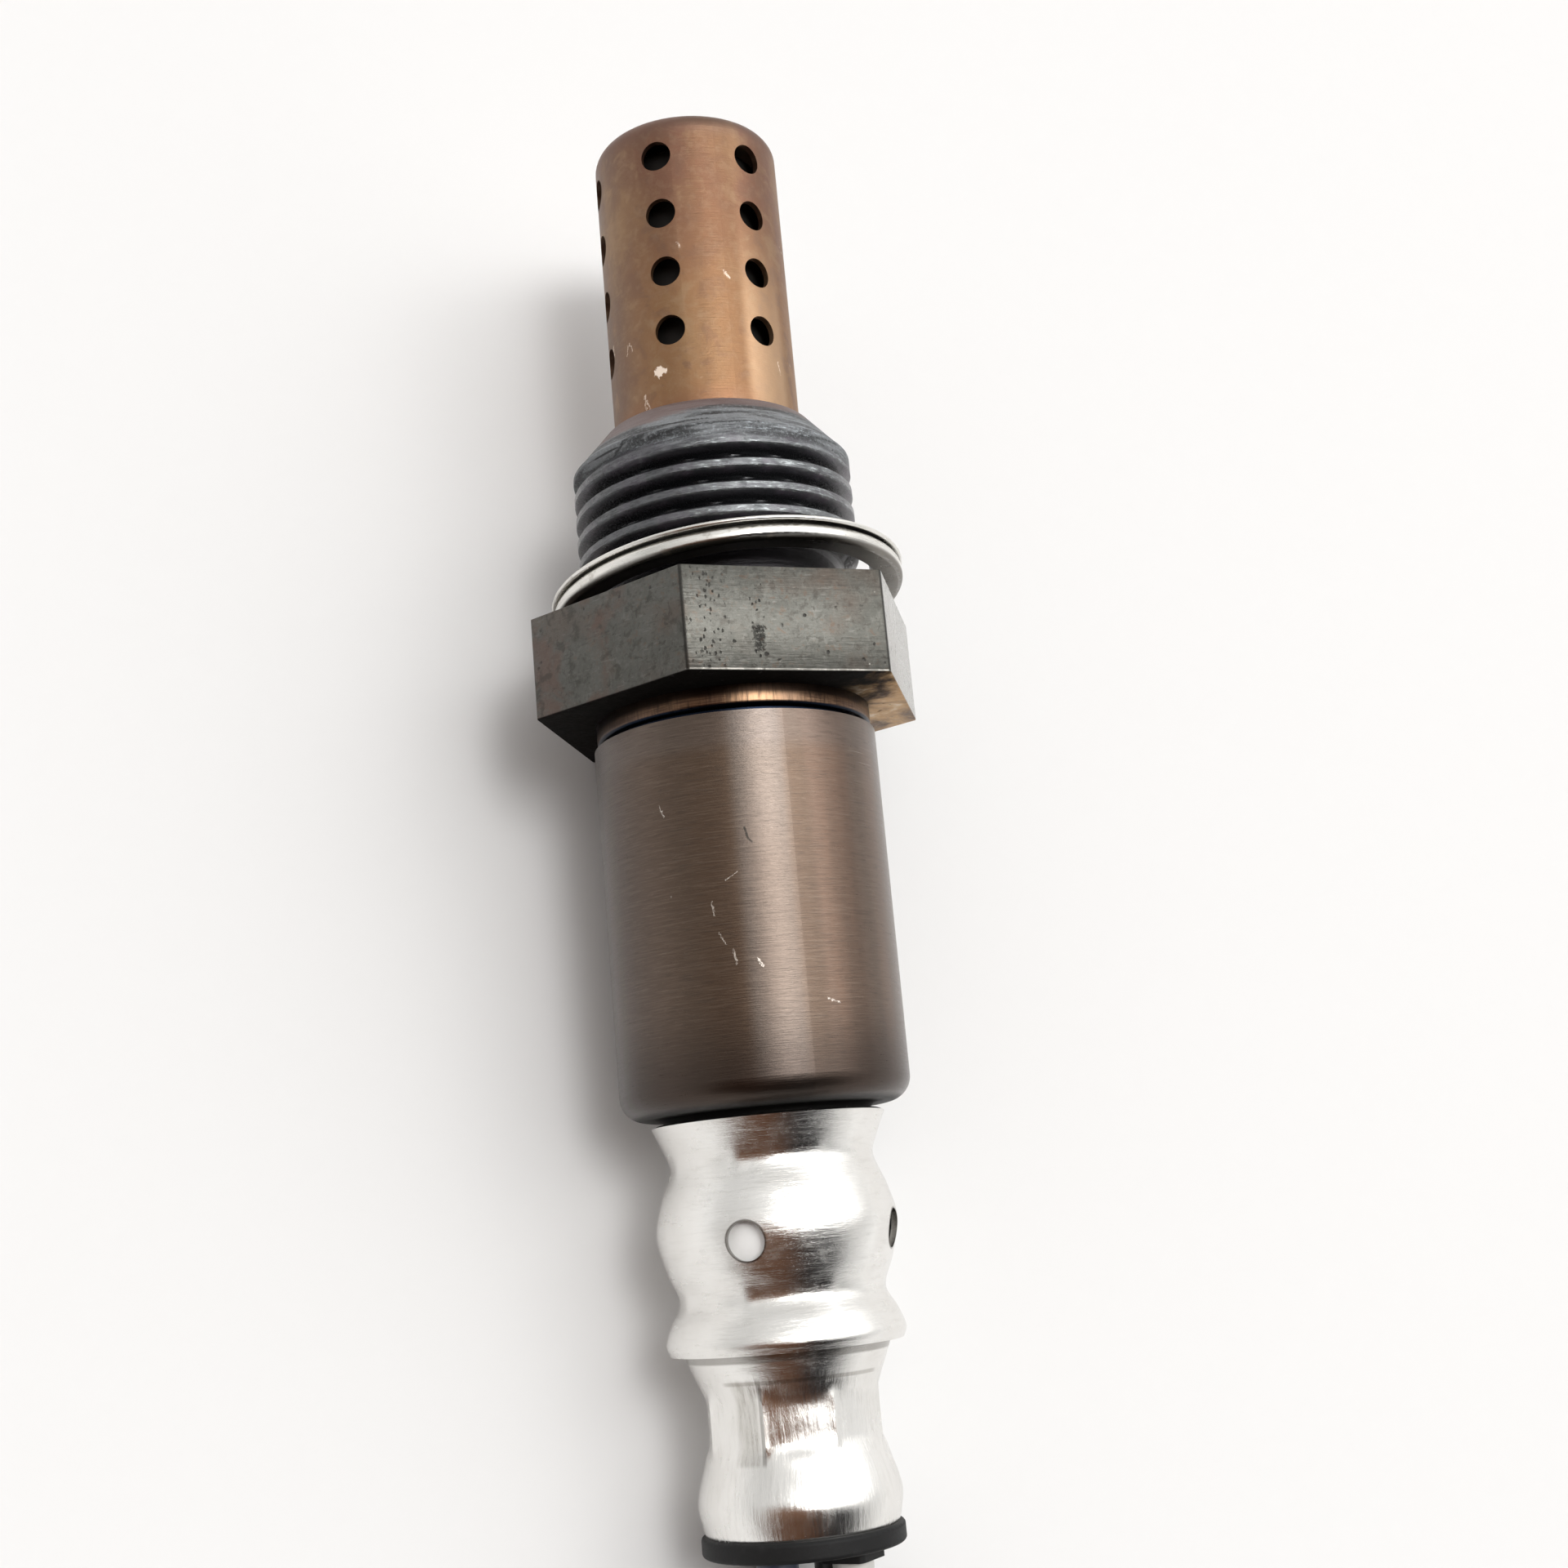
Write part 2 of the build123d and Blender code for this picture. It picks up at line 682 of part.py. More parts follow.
with BuildPart() as rear_casing:
    with BuildSketch(section_plane()):
        with BuildLine():
            front_tube = [
                (casing_front, casing_front_radius),
                (sleeve_neck_end, casing_front_radius),
                (sleeve_neck_end - casing_step, casing_radius),
                (filter_rear, casing_radius),
            ]
            rear_bell = [
                (filter_rear, casing_radius),
                casing_shoulder,
                (crimp_front, crimp_radius),
                ((crimp_front + crimp_rear) / 2, crimp_radius - crimp_hollow),
                (crimp_rear, crimp_radius),
                casing_bulge,
                (casing_rear, casing_rear_radius),
            ]
            Polyline(*front_tube)
            Spline(*rear_bell)
            bell_inside = [(station, radius - casing_wall) for station, radius in rear_bell]
            tube_bore = [(station, radius - casing_wall) for station, radius in front_tube]
            Line(rear_bell[-1], bell_inside[-1])
            Spline(*bell_inside[::-1])
            Polyline(*tube_bore[::-1])
            Line(tube_bore[0], front_tube[0])
        make_face()
    revolve(axis=sensor_axis)
    ridges = section_strip(ridge_azimuths, crimp_front + crimp_ridge_inset,
                           crimp_rear - crimp_ridge_inset,
                           crimp_radius - casing_wall / 2, crimp_radius + crimp_ridge_height)
    extrude(ridges, amount=crimp_ridge_width / 2, both=True)
    # The jaws leave flats between the ridges, run out by their rounded noses.
    flat_radius = crimp_radius - crimp_flat_depth
    flat_front = crimp_front - crimp_flat_overrun
    flat_rear = crimp_rear + crimp_flat_overrun
    jaw_half_width = flat_radius * tan(radians(180 / crimp_jaws)) - crimp_ridge_width / 2
    with BuildSketch(*[section_plane(azimuth) for azimuth in jaw_azimuths]):
        with BuildLine():
            Polyline(
                (flat_front + crimp_flat_runout, crimp_radius + cut_past),
                (flat_front, flat_radius),
                (flat_rear, flat_radius),
                (flat_rear - crimp_flat_runout, crimp_radius + cut_past),
                close=True,
            )
        make_face()
    extrude(amount=jaw_half_width, both=True, mode=Mode.SUBTRACT)
    with BuildSketch(*[drill_plane(azimuth) for azimuth in vent_azimuths]):
        with Locations((vent_station, 0)):
            Circle(casing_vent_diameter / 2)
    extrude(amount=casing_radius + cut_past, mode=Mode.SUBTRACT)
keep("rear_casing", rear_casing)

filter_inside = casing_radius + shell_fit

filter_outside = filter_inside + filter_thickness

# The porous sleeve swells into the bulge of its cover, so it stands close behind the vents.
with BuildPart() as filter_sleeve:
    with BuildSketch(section_plane()):
        with BuildLine():
            swell_front = (cover_bulge[0] + filter_swell_reach, filter_outside)
            swell_rear = (cover_bulge[0] - filter_swell_reach, filter_outside)
            Line((filter_front, filter_outside), swell_front)
            ThreePointArc(swell_front, (cover_bulge[0], filter_outside + filter_swell), swell_rear)
            Polyline(swell_rear, (filter_rear, filter_outside), (filter_rear, filter_inside),
                     (filter_front, filter_inside), (filter_front, filter_outside))
        make_face()
    revolve(axis=sensor_axis)
keep("filter_sleeve", filter_sleeve)


def between(first, second, share, bulge):
    """A point on a drawn shell between two of its rings, pushed out or in of the straight line."""
    station = first[0] + (second[0] - first[0]) * share
    radius = first[1] + (second[1] - first[1]) * share
    return (station, radius + bulge)


with BuildPart() as filter_cover:
    with BuildSketch(section_plane()):
        with BuildLine():
            sheet_profile(
                [
                    cover_lip,
                    between(cover_lip, cover_front_neck, 0.6, -0.12),
                    cover_front_neck,
                    between(cover_front_neck, cover_bulge, 0.5, 0.12),
                    cover_bulge,
                    between(cover_bulge, cover_rear_neck, 0.55, 0.1),
                    cover_rear_neck,
                    between(cover_rear_neck, cover_flare, 0.5, 0.08),
                    cover_flare,
                    (cover_rear, cover_rear_radius),
                ],
                cover_wall,
            )
        make_face()
    revolve(axis=sensor_axis)
    for neck_station, neck_ring in (cover_front_neck, cover_rear_neck):
        ridges = section_strip(ridge_azimuths, neck_station + cover_ridge_reach,
                               neck_station - cover_ridge_reach,
                               neck_ring - cover_wall / 2, neck_ring + cover_ridge_height)
        extrude(ridges, amount=crimp_ridge_width / 2, both=True)
    with BuildSketch(*[drill_plane(azimuth) for azimuth in vent_azimuths]):
        with Locations((vent_station, 0)):
            Circle(vent_diameter / 2)
    extrude(amount=cover_bulge[1] + cut_past, mode=Mode.SUBTRACT)
keep("filter_cover", filter_cover)

# ---------------------------------------------------------------- grommet and the leads inside
grommet_waist = crimp_radius - crimp_flat_depth - casing_wall - slide_fit
grommet_bulge = casing_bulge[1] - casing_wall - grommet_squeeze_gap
grommet_mouth = casing_rear_radius - casing_wall - grommet_squeeze_gap / 2

with BuildPart() as grommet:
    with BuildSketch(section_plane()):
        with BuildLine():
            Polyline(
                (grommet_front, 0),
                (grommet_front, grommet_waist),
                (crimp_rear, grommet_waist),
                (casing_bulge[0] + grommet_land, grommet_bulge),
                (casing_bulge[0] - grommet_land, grommet_bulge),
                (casing_rear, grommet_mouth),
                (casing_rear, grommet_flange_radius),
                (grommet_rear, grommet_flange_radius),
                (grommet_rear, 0),
                close=True,
            )
        make_face()
        for flange_station in (casing_rear, grommet_rear):
            rim = vertices().sort_by_distance((flange_station, grommet_flange_radius))[0]
            fillet(rim, grommet_rim_rounding)
    revolve(axis=sensor_axis)
    with BuildSketch(cross_plane(grommet_rear)):
        for colour in bossed_leads:
            with Locations(Location(lead_spot(lead_azimuths[colour]), -lead_azimuths[colour])):
                RectangleRounded(boss_size, boss_size, boss_rounding)
    extrude(amount=boss_height)
    with BuildSketch(cross_plane(grommet_front)):
        with Locations(*[lead_spot(azimuth) for azimuth in lead_azimuths.values()]):
            Circle(lead_radius + lead_fit)
    extrude(amount=grommet_front - grommet_rear + boss_height, mode=Mode.SUBTRACT)
keep("grommet", grommet)

for colour, azimuth in lead_azimuths.items():
    with BuildPart() as lead_inside:
        with BuildSketch(cross_plane(barrel_step)):
            with Locations(lead_spot(azimuth)):
                Circle(lead_radius)
        extrude(amount=barrel_step - grommet_rear)
    keep(f"lead_{colour}_inside", lead_inside)

# ---------------------------------------------------------------- free leads


def cord_tube(name, points, diameter):
    """A cord along straight runs joined by arcs as large as the runs allow."""
    spots = [Vector(point) for point in points]
    radii = []
    for before, corner, after in zip(spots, spots[1:], spots[2:]):
        half_turn = radians((corner - before).get_angle(after - corner)) / 2
        shorter_run = min((corner - before).length, (after - corner).length)
        radii.append(0.45 * shorter_run / tan(half_turn))
    with BuildPart() as tube:
        with BuildLine() as route:
            FilletPolyline(*spots, radius=radii)
        first_run = spots[1] - spots[0]
        with BuildSketch(Plane(origin=spots[0], z_dir=first_run)):
            Circle(diameter / 2)
        sweep(path=route.wires()[0])
    length = route.wires()[0].length
    full = length * pi * diameter ** 2 / 4
    print(f"{name}: length {length:.1f}, volume share {tube.part.volume / full:.4f}, radii",
          " ".join(f"{radius:.0f}" for radius in radii))
    keep(name, tube)


def lead_start(colour):
    """Where a lead leaves the grommet."""
    spot = lead_spot(lead_azimuths[colour])
    return cross_plane(grommet_rear).from_local_coords((spot[0], spot[1], 0))


def lead_end(column, row):
    """Where a lead enters the shrunk collar of the sleeving."""
    return shrink_mouth + Vector(column, 0, row) * (lead_spacing / 2)


# A lead leaves the grommet along the sensor's axis and enters the collar level.
shrink_mouth = Vector(0, leads_reach, shrink_height)
lead_middles = {
    "blue": [(-4.0, 24.0, 3.1), (-3.2, 16.0, 2.3)],
    "white": [(3.6, 24.5, 3.7), (3.3, 16.5, 2.4)],
    "black": [(4.3, 24.0, -0.8), (3.4, 15.5, -1.1)],
    "grey": [(-3.8, 23.5, -1.1), (-3.3, 15.5, -1.2)],
}
collar_spots = {"blue": (-1, 1), "white": (1, 1), "black": (1, -1), "grey": (-1, -1)}

for colour, middles in lead_middles.items():
    exit_spot = lead_start(colour)
    entry_spot = lead_end(*collar_spots[colour])
    cord_tube(f"lead_{colour}", [
        exit_spot,
        exit_spot - nose_way * lead_first_run,
        *[shrink_mouth + Vector(*middle) for middle in middles],
        entry_spot + Vector(0, lead_last_run, 0),
        entry_spot,
    ], lead_diameter)

# ---------------------------------------------------------------- sleeving, collar, tie and hank
leads_way = Vector(0, -1, 0)
shrink_end = shrink_mouth + leads_way * shrink_length
sleeving_radius = sleeving_diameter / 2
shrink_radius = sleeving_radius + shrink_wall

with BuildPart() as sleeving_collar:
    with BuildSketch(Plane(origin=shrink_mouth, x_dir=leads_way, z_dir=(0, 0, 1))):
        with BuildLine():
            Polyline(
                (0, 0),
                (0, shrink_radius - shrink_taper),
                (shrink_taper_length, shrink_radius),
                (shrink_length, shrink_radius),
                (shrink_length, 0),
                close=True,
            )
        make_face()
    revolve(axis=Axis(shrink_mouth, leads_way))
keep("sleeving_collar", sleeving_collar)

# The two strands of the folded sleeving lie side by side where the tie holds them.
waist_x = sleeving_radius + strand_gap / 2
waist_z = sleeving_radius + tie_slack + tie_band
tie_y = leads_reach - tie_distance
hank_front = leads_reach - hank_distance
hank_loop_centre = hank_front - hank_taper_length

connector_way = Vector(sin(radians(connector_turn)), cos(radians(connector_turn)), 0)
connector_base = Vector(connector_side_shift, leads_reach - connector_distance, connector_height / 2)

cord_tube("sleeving_front", [
    shrink_end,
    shrink_end + leads_way * sleeving_first_run,
    (bend_side, leads_reach - bend_distance, waist_z),
    (-waist_x, hank_front + waist_run, waist_z),
    (-waist_x, hank_front, waist_z),
], sleeving_diameter)
cord_tube("sleeving_back", [
    (waist_x, hank_front, waist_z),
    (waist_x, hank_front + waist_run, waist_z),
    connector_base - connector_way * sleeving_last_run,
    connector_base,
], sleeving_diameter)

with BuildPart() as sleeving_hank:
    with BuildSketch():
        with BuildLine():
            CenterArc((0, hank_loop_centre), hank_loop_radius, 0, 360)
            hank_waist = waist_x + sleeving_radius
            Line((-hank_waist, hank_front), (hank_waist, hank_front))
        make_hull()
    extrude(amount=waist_z + sleeving_radius)
    for rim in (sleeving_hank.faces().sort_by(Axis.Z)[-1], sleeving_hank.faces().sort_by(Axis.Z)[0]):
        fillet(rim.edges().filter_by(GeomType.CIRCLE), hank_rounding)
keep("sleeving_hank", sleeving_hank)

tie_inside = sleeving_radius + tie_slack
tie_outside = tie_inside + tie_band

with BuildPart() as cable_tie:
    tie_start = Vector(0, tie_y + tie_width / 2, waist_z)
    with BuildSketch(Plane(origin=tie_start, x_dir=across, z_dir=leads_way)):
        SlotOverall(2 * (waist_x + tie_outside), 2 * tie_outside)
        SlotOverall(2 * (waist_x + tie_inside), 2 * tie_inside, mode=Mode.SUBTRACT)
    extrude(amount=tie_width)
    head_x, head_y, head_z = tie_head
    with BuildSketch(Plane.XY.offset(waist_z + tie_outside - tie_head_sink)):
        with Locations((0, tie_y)):
            RectangleRounded(head_x, head_y, tie_head_rounding)
    extrude(amount=head_z)
keep("cable_tie", cable_tie)

# ---------------------------------------------------------------- connector


def connector_plane(distance):
    """Cut across the connector: z runs out of its socket, y is up."""
    return Plane(origin=connector_base + connector_way * distance,
                 x_dir=connector_side, z_dir=connector_way)


connector_side = Vector(0, 0, 1).cross(connector_way)
socket_floor = boot_length + connector_length - connector_socket_depth
socket_width = connector_width - 2 * connector_wall
socket_height = connector_height - 2 * connector_wall

with BuildPart() as connector_boot:
    with BuildSketch(connector_plane(0)):
        Circle(boot_entry_radius)
    with BuildSketch(connector_plane(boot_length)):
        RectangleRounded(connector_width, connector_height, connector_corner)
        offset(amount=-boot_inset, mode=Mode.REPLACE)
    loft()
keep("connector_boot", connector_boot)

with BuildPart() as connector_housing:
    with BuildSketch(connector_plane(boot_length)):
        RectangleRounded(connector_width, connector_height, connector_corner)
    extrude(amount=connector_length)
    with BuildSketch(connector_plane(socket_floor)):
        RectangleRounded(socket_width, socket_height, connector_socket_corner)
    extrude(amount=connector_socket_depth, mode=Mode.SUBTRACT)
    with BuildSketch(connector_plane(socket_floor)):
        with GridLocations(*blade_pitch, 2, 2):
            Rectangle(blade_width + 2 * slide_fit, blade_thickness + 2 * slide_fit)
    extrude(amount=-(socket_floor - boot_length), mode=Mode.SUBTRACT)
    # A grip ridge down each side
    with BuildSketch(connector_plane(boot_length + connector_length / 2)):
        for side in (-1, 1):
            with Locations((side * connector_width / 2, 0)):
                Rectangle(2 * grip_ridge_height, connector_height - 2 * connector_corner)
    extrude(amount=grip_ridge_length)
keep("connector_housing", connector_housing)

with BuildPart() as connector_latch:
    latch_base = connector_plane(boot_length + latch_start).origin + Vector(0, 0, connector_height / 2)
    with BuildSketch(Plane(origin=latch_base, x_dir=connector_way, z_dir=connector_side * -1)):
        with BuildLine():
            Polyline(
                (0, 0),
                (0, latch_gap + latch_thickness),
                (latch_length, latch_gap + latch_thickness),
                (latch_length, latch_gap),
                (latch_foot, latch_gap),
                (latch_foot, 0),
                close=True,
            )
        make_face()
    extrude(amount=latch_width / 2, both=True)
keep("connector_latch", connector_latch)

with BuildPart() as connector_blades:
    with BuildSketch(connector_plane(boot_length)):
        with GridLocations(*blade_pitch, 2, 2):
            Rectangle(blade_width, blade_thickness)
    extrude(amount=blade_length)
keep("connector_blades", connector_blades)

with BuildPart() as connector_wedge:
    with BuildSketch(connector_plane(socket_floor)):
        Rectangle(blade_pitch[0] + blade_width + 2 * wedge_overhang, wedge_height)
    extrude(amount=wedge_depth)
keep("connector_wedge", connector_wedge)

with BuildPart() as connector_seal:
    with BuildSketch(connector_plane(socket_floor)):
        RectangleRounded(socket_width, socket_height, connector_socket_corner)
        offset(amount=-slide_fit, mode=Mode.REPLACE)
        offset(amount=-face_seal_thickness, mode=Mode.SUBTRACT)
    extrude(amount=face_seal_length)
keep("connector_seal", connector_seal)

print(f"rest tilt {rest_tilt:.2f} degrees, seat centre y {seat_y:.3f} z {seat_z:.3f}")
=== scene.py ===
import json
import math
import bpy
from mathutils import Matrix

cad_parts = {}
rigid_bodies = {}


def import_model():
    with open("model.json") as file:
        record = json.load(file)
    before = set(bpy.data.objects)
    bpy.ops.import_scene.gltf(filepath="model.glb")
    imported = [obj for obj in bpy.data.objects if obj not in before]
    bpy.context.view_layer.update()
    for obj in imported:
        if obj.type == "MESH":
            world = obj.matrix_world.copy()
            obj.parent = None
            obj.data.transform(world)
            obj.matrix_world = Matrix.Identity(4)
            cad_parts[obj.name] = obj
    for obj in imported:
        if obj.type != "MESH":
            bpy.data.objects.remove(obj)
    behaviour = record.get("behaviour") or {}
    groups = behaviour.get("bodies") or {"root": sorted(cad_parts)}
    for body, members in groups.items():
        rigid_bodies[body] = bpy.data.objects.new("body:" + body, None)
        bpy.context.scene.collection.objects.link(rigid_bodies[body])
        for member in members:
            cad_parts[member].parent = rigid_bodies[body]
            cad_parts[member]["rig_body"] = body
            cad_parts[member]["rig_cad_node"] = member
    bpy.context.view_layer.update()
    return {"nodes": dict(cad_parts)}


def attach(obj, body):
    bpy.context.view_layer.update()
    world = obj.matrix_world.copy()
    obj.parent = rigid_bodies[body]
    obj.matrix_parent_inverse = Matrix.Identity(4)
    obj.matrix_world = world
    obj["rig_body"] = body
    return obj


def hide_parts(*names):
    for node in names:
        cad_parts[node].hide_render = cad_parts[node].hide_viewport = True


bl_info = {
    "name": "Oxygen Sensor Finish",
    "version": (1, 0, 0),
    "blender": (4, 5, 0),
    "location": "View3D > Sidebar > Sensor",
    "description": "Dresses the packed oxygen sensor: thread, finishes, leads and studio",
    "category": "Add Mesh",
}

import bmesh
import bpy
from mathutils import Matrix, Vector

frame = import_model()

# ---------------------------------------------------------------- the sensor's own frame
# Millimetres: x across, y is the station along the axis towards the nose, z up from the axis.
MM = 0.001
DEGREE = math.radians(1.0)
REST_TILT = math.radians(5.20815)
SEAT_CENTRE = Vector((0.0, 0.01188, 0.011541))
NOSE_WAY = Vector((0.0, math.cos(REST_TILT), math.sin(REST_TILT)))
SENSOR_FRAME = (Matrix.Translation(SEAT_CENTRE) @ Matrix.Rotation(REST_TILT, 4, "X")
                @ Matrix.Scale(MM, 4))
FLOOR_FRAME = Matrix.Scale(MM, 4)

THREAD_PITCH = 1.5
CREST_RADIUS = 9.0
ROOT_RADIUS = 8.08
CREST_STATION = 8.97
NOSE_RADIUS = 6.05
SLEEVE_RADIUS = 8.88
GASKET_LEAN = 5.0
GASKET_CENTRE = (0.6, 1.0, -0.25)
CRIMP_STATIONS = (-46.6, -50.9)
VENT_AZIMUTH, VENT_STATION, VENT_RADIUS = -34.6, -38.65, 1.125


def eased(share):
    """A share kept between 0 and 1 and smoothed at both ends."""
    share = min(max(share, 0.0), 1.0)
    return share * share * (3.0 - 2.0 * share)


# ---------------------------------------------------------------- shader maths
def sum_method(operation, swapped=False):
    """A method that adds one Math node, with the wire as its last value if swapped."""
    def method(wire, *others):
        return wire.sum(operation, *((*others, wire) if swapped else (wire, *others)))
    return method


class Wire:
    """A socket in a finish's nodes. Sums on it add Math nodes, so they read as plain Python."""

    def __init__(self, finish, socket):
        self.finish = finish
        self.socket = socket

    def sum(self, operation, *values, clamp=False):
        return self.finish.node("ShaderNodeMath", {"operation": operation, "use_clamp": clamp},
                                dict(enumerate(values)))

    __add__, __radd__ = sum_method("ADD"), sum_method("ADD", True)
    __sub__, __rsub__ = sum_method("SUBTRACT"), sum_method("SUBTRACT", True)
    __mul__, __rmul__ = sum_method("MULTIPLY"), sum_method("MULTIPLY", True)
    __truediv__, __mod__ = sum_method("DIVIDE"), sum_method("FLOORED_MODULO")
    __pow__, __abs__ = sum_method("POWER"), sum_method("ABSOLUTE")
    most, floor, sine, cosine = map(sum_method, ("MAXIMUM", "FLOOR", "SINE", "COSINE"))

    def held(self):
        """The value kept between 0 and 1."""
        return self.sum("ADD", self, 0.0, clamp=True)

    def step(self, low, high):
        """0 below low, 1 above high and smooth between."""
        return self.finish.node(
            "ShaderNodeMapRange", {"interpolation_type": "SMOOTHSTEP"},
            {"Value": self, "From Min": low, "From Max": high, "To Min": 0.0, "To Max": 1.0})

    def band(self, low, high, edge):
        """1 between low and high, fading over edge outside them."""
        return self.step(low - edge, low) * (1.0 - self.step(high, high + edge))


class Finish:
    """The nodes of one procedural finish, or of the sky, built by name."""

    def __init__(self, owner):
        self.owner = bpy.data.materials.new(owner) if isinstance(owner, str) else owner
        self.owner.use_nodes = True
        self.tree = self.owner.node_tree
        self.tree.nodes.clear()

    def node(self, kind, settings=None, values=None, out=0):
        """Adds a node: its settings first, then the values and links of its sockets."""
        node = self.tree.nodes.new(kind)
        for key, value in (settings or {}).items():
            setattr(node, key, value)
        for key, value in (values or {}).items():
            socket = node.inputs[key]
            if isinstance(value, Wire):
                self.tree.links.new(value.socket, socket)
            else:
                socket.default_value = (*value, 1.0) if socket.type == "RGBA" else value
        return Wire(self, node.outputs[out])

    def vector(self, operation, *values, out=0):
        return self.node("ShaderNodeVectorMath", {"operation": operation}, dict(enumerate(values)), out)

    def parts(self, vector):
        node = self.tree.nodes.new("ShaderNodeSeparateXYZ")
        self.tree.links.new(vector.socket, node.inputs[0])
        return tuple(Wire(self, socket) for socket in node.outputs)

    def joined(self, x, y, z):
        return self.node("ShaderNodeCombineXYZ", {}, {0: x, 1: y, 2: z})

    def noise(self, vector, scale, detail=4.0, roughness=0.5, warp=0.0):
        return self.node("ShaderNodeTexNoise", {}, {
            "Vector": vector, "Scale": scale, "Detail": detail, "Roughness": roughness,
            "Distortion": warp})

    def cells(self, vector, scale):
        """Distance to the nearest scattered point."""
        return self.node("ShaderNodeTexVoronoi", {}, {"Vector": vector, "Scale": scale, "Randomness": 1.0})

    def on_floor(self, **turn):
        """Reads object coordinates in millimetres as the place of all patterns."""
        self.place = self.node("ShaderNodeMapping", {"vector_type": "TEXTURE"}, {
            "Vector": self.node("ShaderNodeTexCoord", out="Object"), "Scale": (MM, MM, MM), **turn})

    def on_sensor(self):
        """Reads them in the sensor's own frame."""
        self.on_floor(Location=tuple(SEAT_CENTRE), Rotation=(REST_TILT, 0.0, 0.0))

    def round_sensor(self):
        """Azimuth in degrees from the upper side towards +x, station and radius."""
        self.on_sensor()
        x, self.station, z = self.parts(self.place)
        self.azimuth = x.sum("ARCTAN2", x, z) * math.degrees(1.0)
        return self.azimuth, self.station, (x * x + z * z) ** 0.5

    def cloud(self, scale, detail=4.0, roughness=0.5, warp=0.0):
        """Noise in the finish's own place."""
        return self.noise(self.place, scale, detail, roughness, warp)

    def streaks(self, around, along, radius=9.0, detail=4.0, roughness=0.5, warp=0.0):
        """Noise on the turned surface, stretched: around and along are scales per millimetre."""
        turn = self.azimuth * DEGREE
        reach = radius * around
        where = self.joined(turn.sine() * reach, self.station * along, turn.cosine() * reach)
        return self.noise(where, 1.0, detail, roughness, warp)

    def hairlines(self, around, along, share):
        """Thin straight scores that run round the sensor, kept where a broad pattern allows."""
        where = self.streaks(0.12, 0.25, detail=2.0).step(0.88 - share, 1.12 - share)
        return self.streaks(around, along, 9.0, 2.0, 0.4).step(0.66, 0.74) * where

    def strokes(self, radius, lines, wander):
        """Drawn scratches on the unrolled surface: each line is two places and a width in millimetres."""
        across = self.azimuth * (DEGREE * radius)
        place = self.joined(across, self.station, 0.0)
        shift = self.noise(place, 1.9, 3.0) - 0.5
        shake = self.noise(place, 7.0, 2.0) - 0.5
        here_u = across + shift * wander + shake * (wander * 0.35)
        here_v = self.station + shake * (wander * 0.5)
        total = None
        for (station_a, azimuth_a), (station_b, azimuth_b), width in lines:
            start = Vector((DEGREE * azimuth_a * radius, station_a))
            way = Vector((DEGREE * azimuth_b * radius, station_b)) - start
            span = way.length
            way.normalize()
            u, v = here_u - start.x, here_v - start.y
            off = abs(v * way.x - u * way.y)
            line = (1.0 - off.step(width * 0.35, width)) * (u * way.x + v * way.y).band(0.0, span, width)
            total = line if total is None else total.most(line)
        return total * (0.35 + self.noise(place, 4.5, 2.0).step(0.4, 0.52) * 0.65)

    def specks(self, scale, size, share):
        """Small ragged pale specks."""
        spot = self.cells(self.place, scale) + (self.cloud(scale * 3.0, 2.0) - 0.5) * 0.16
        where = self.cloud(scale * 0.6, 1.0).step(0.98 - share, 1.06 - share)
        return (1.0 - spot.step(size * 0.6, size)) * where

    def mix(self, share, first, second):
        """Colours mixed by a share."""
        return self.node("ShaderNodeMix", {"data_type": "RGBA"},
                         {"Factor": share, 6: first, 7: second}, out=2)

    def coats(self, base, *coats):
        """The base colour under coats, each a share and a colour."""
        for share, colour in coats:
            base = self.mix(share, base, colour)
        return base

    def bump(self, height, depth, strength=1.0):
        """A normal from a height; depth is in millimetres."""
        return self.node("ShaderNodeBump", {}, {
            "Height": height, "Strength": strength, "Distance": depth * MM})

    def show(self, shader, output):
        self.tree.links.new(shader.socket, self.tree.nodes.new(output).inputs["Surface"])

    def surface(self, base, **values):
        """Ends the material: keyword names are the shader's sockets with _ for spaces."""
        values = {key.replace("_", " "): value for key, value in values.items()}
        shader = self.node("ShaderNodeBsdfPrincipled", {}, {"Base Color": base, **values})
        self.show(shader, "ShaderNodeOutputMaterial")
        return self.owner


def between(share, low, high):
    """A mix of two colours, as the start of a finish."""
    return share.finish.mix(share, low, high)


# ---------------------------------------------------------------- finishes
# Scratches: two places, each a station and an azimuth, and a width.
NOSE_MARKS = (
    ((17.9, -67.5), (17.3, -65.5), 0.08), ((17.2, -70.5), (17.9, -69.6), 0.06),
    ((13.6, -56.5), (12.8, -54.5), 0.1), ((14.0, -58.0), (12.9, -57.6), 0.06),
    ((18.6, -88.0), (17.9, -86.5), 0.1), ((21.6, -1.0), (21.1, 2.0), 0.1),
    ((23.7, -28.6), (23.3, -26.8), 0.09), ((16.0, 34.0), (15.2, 36.0), 0.07))
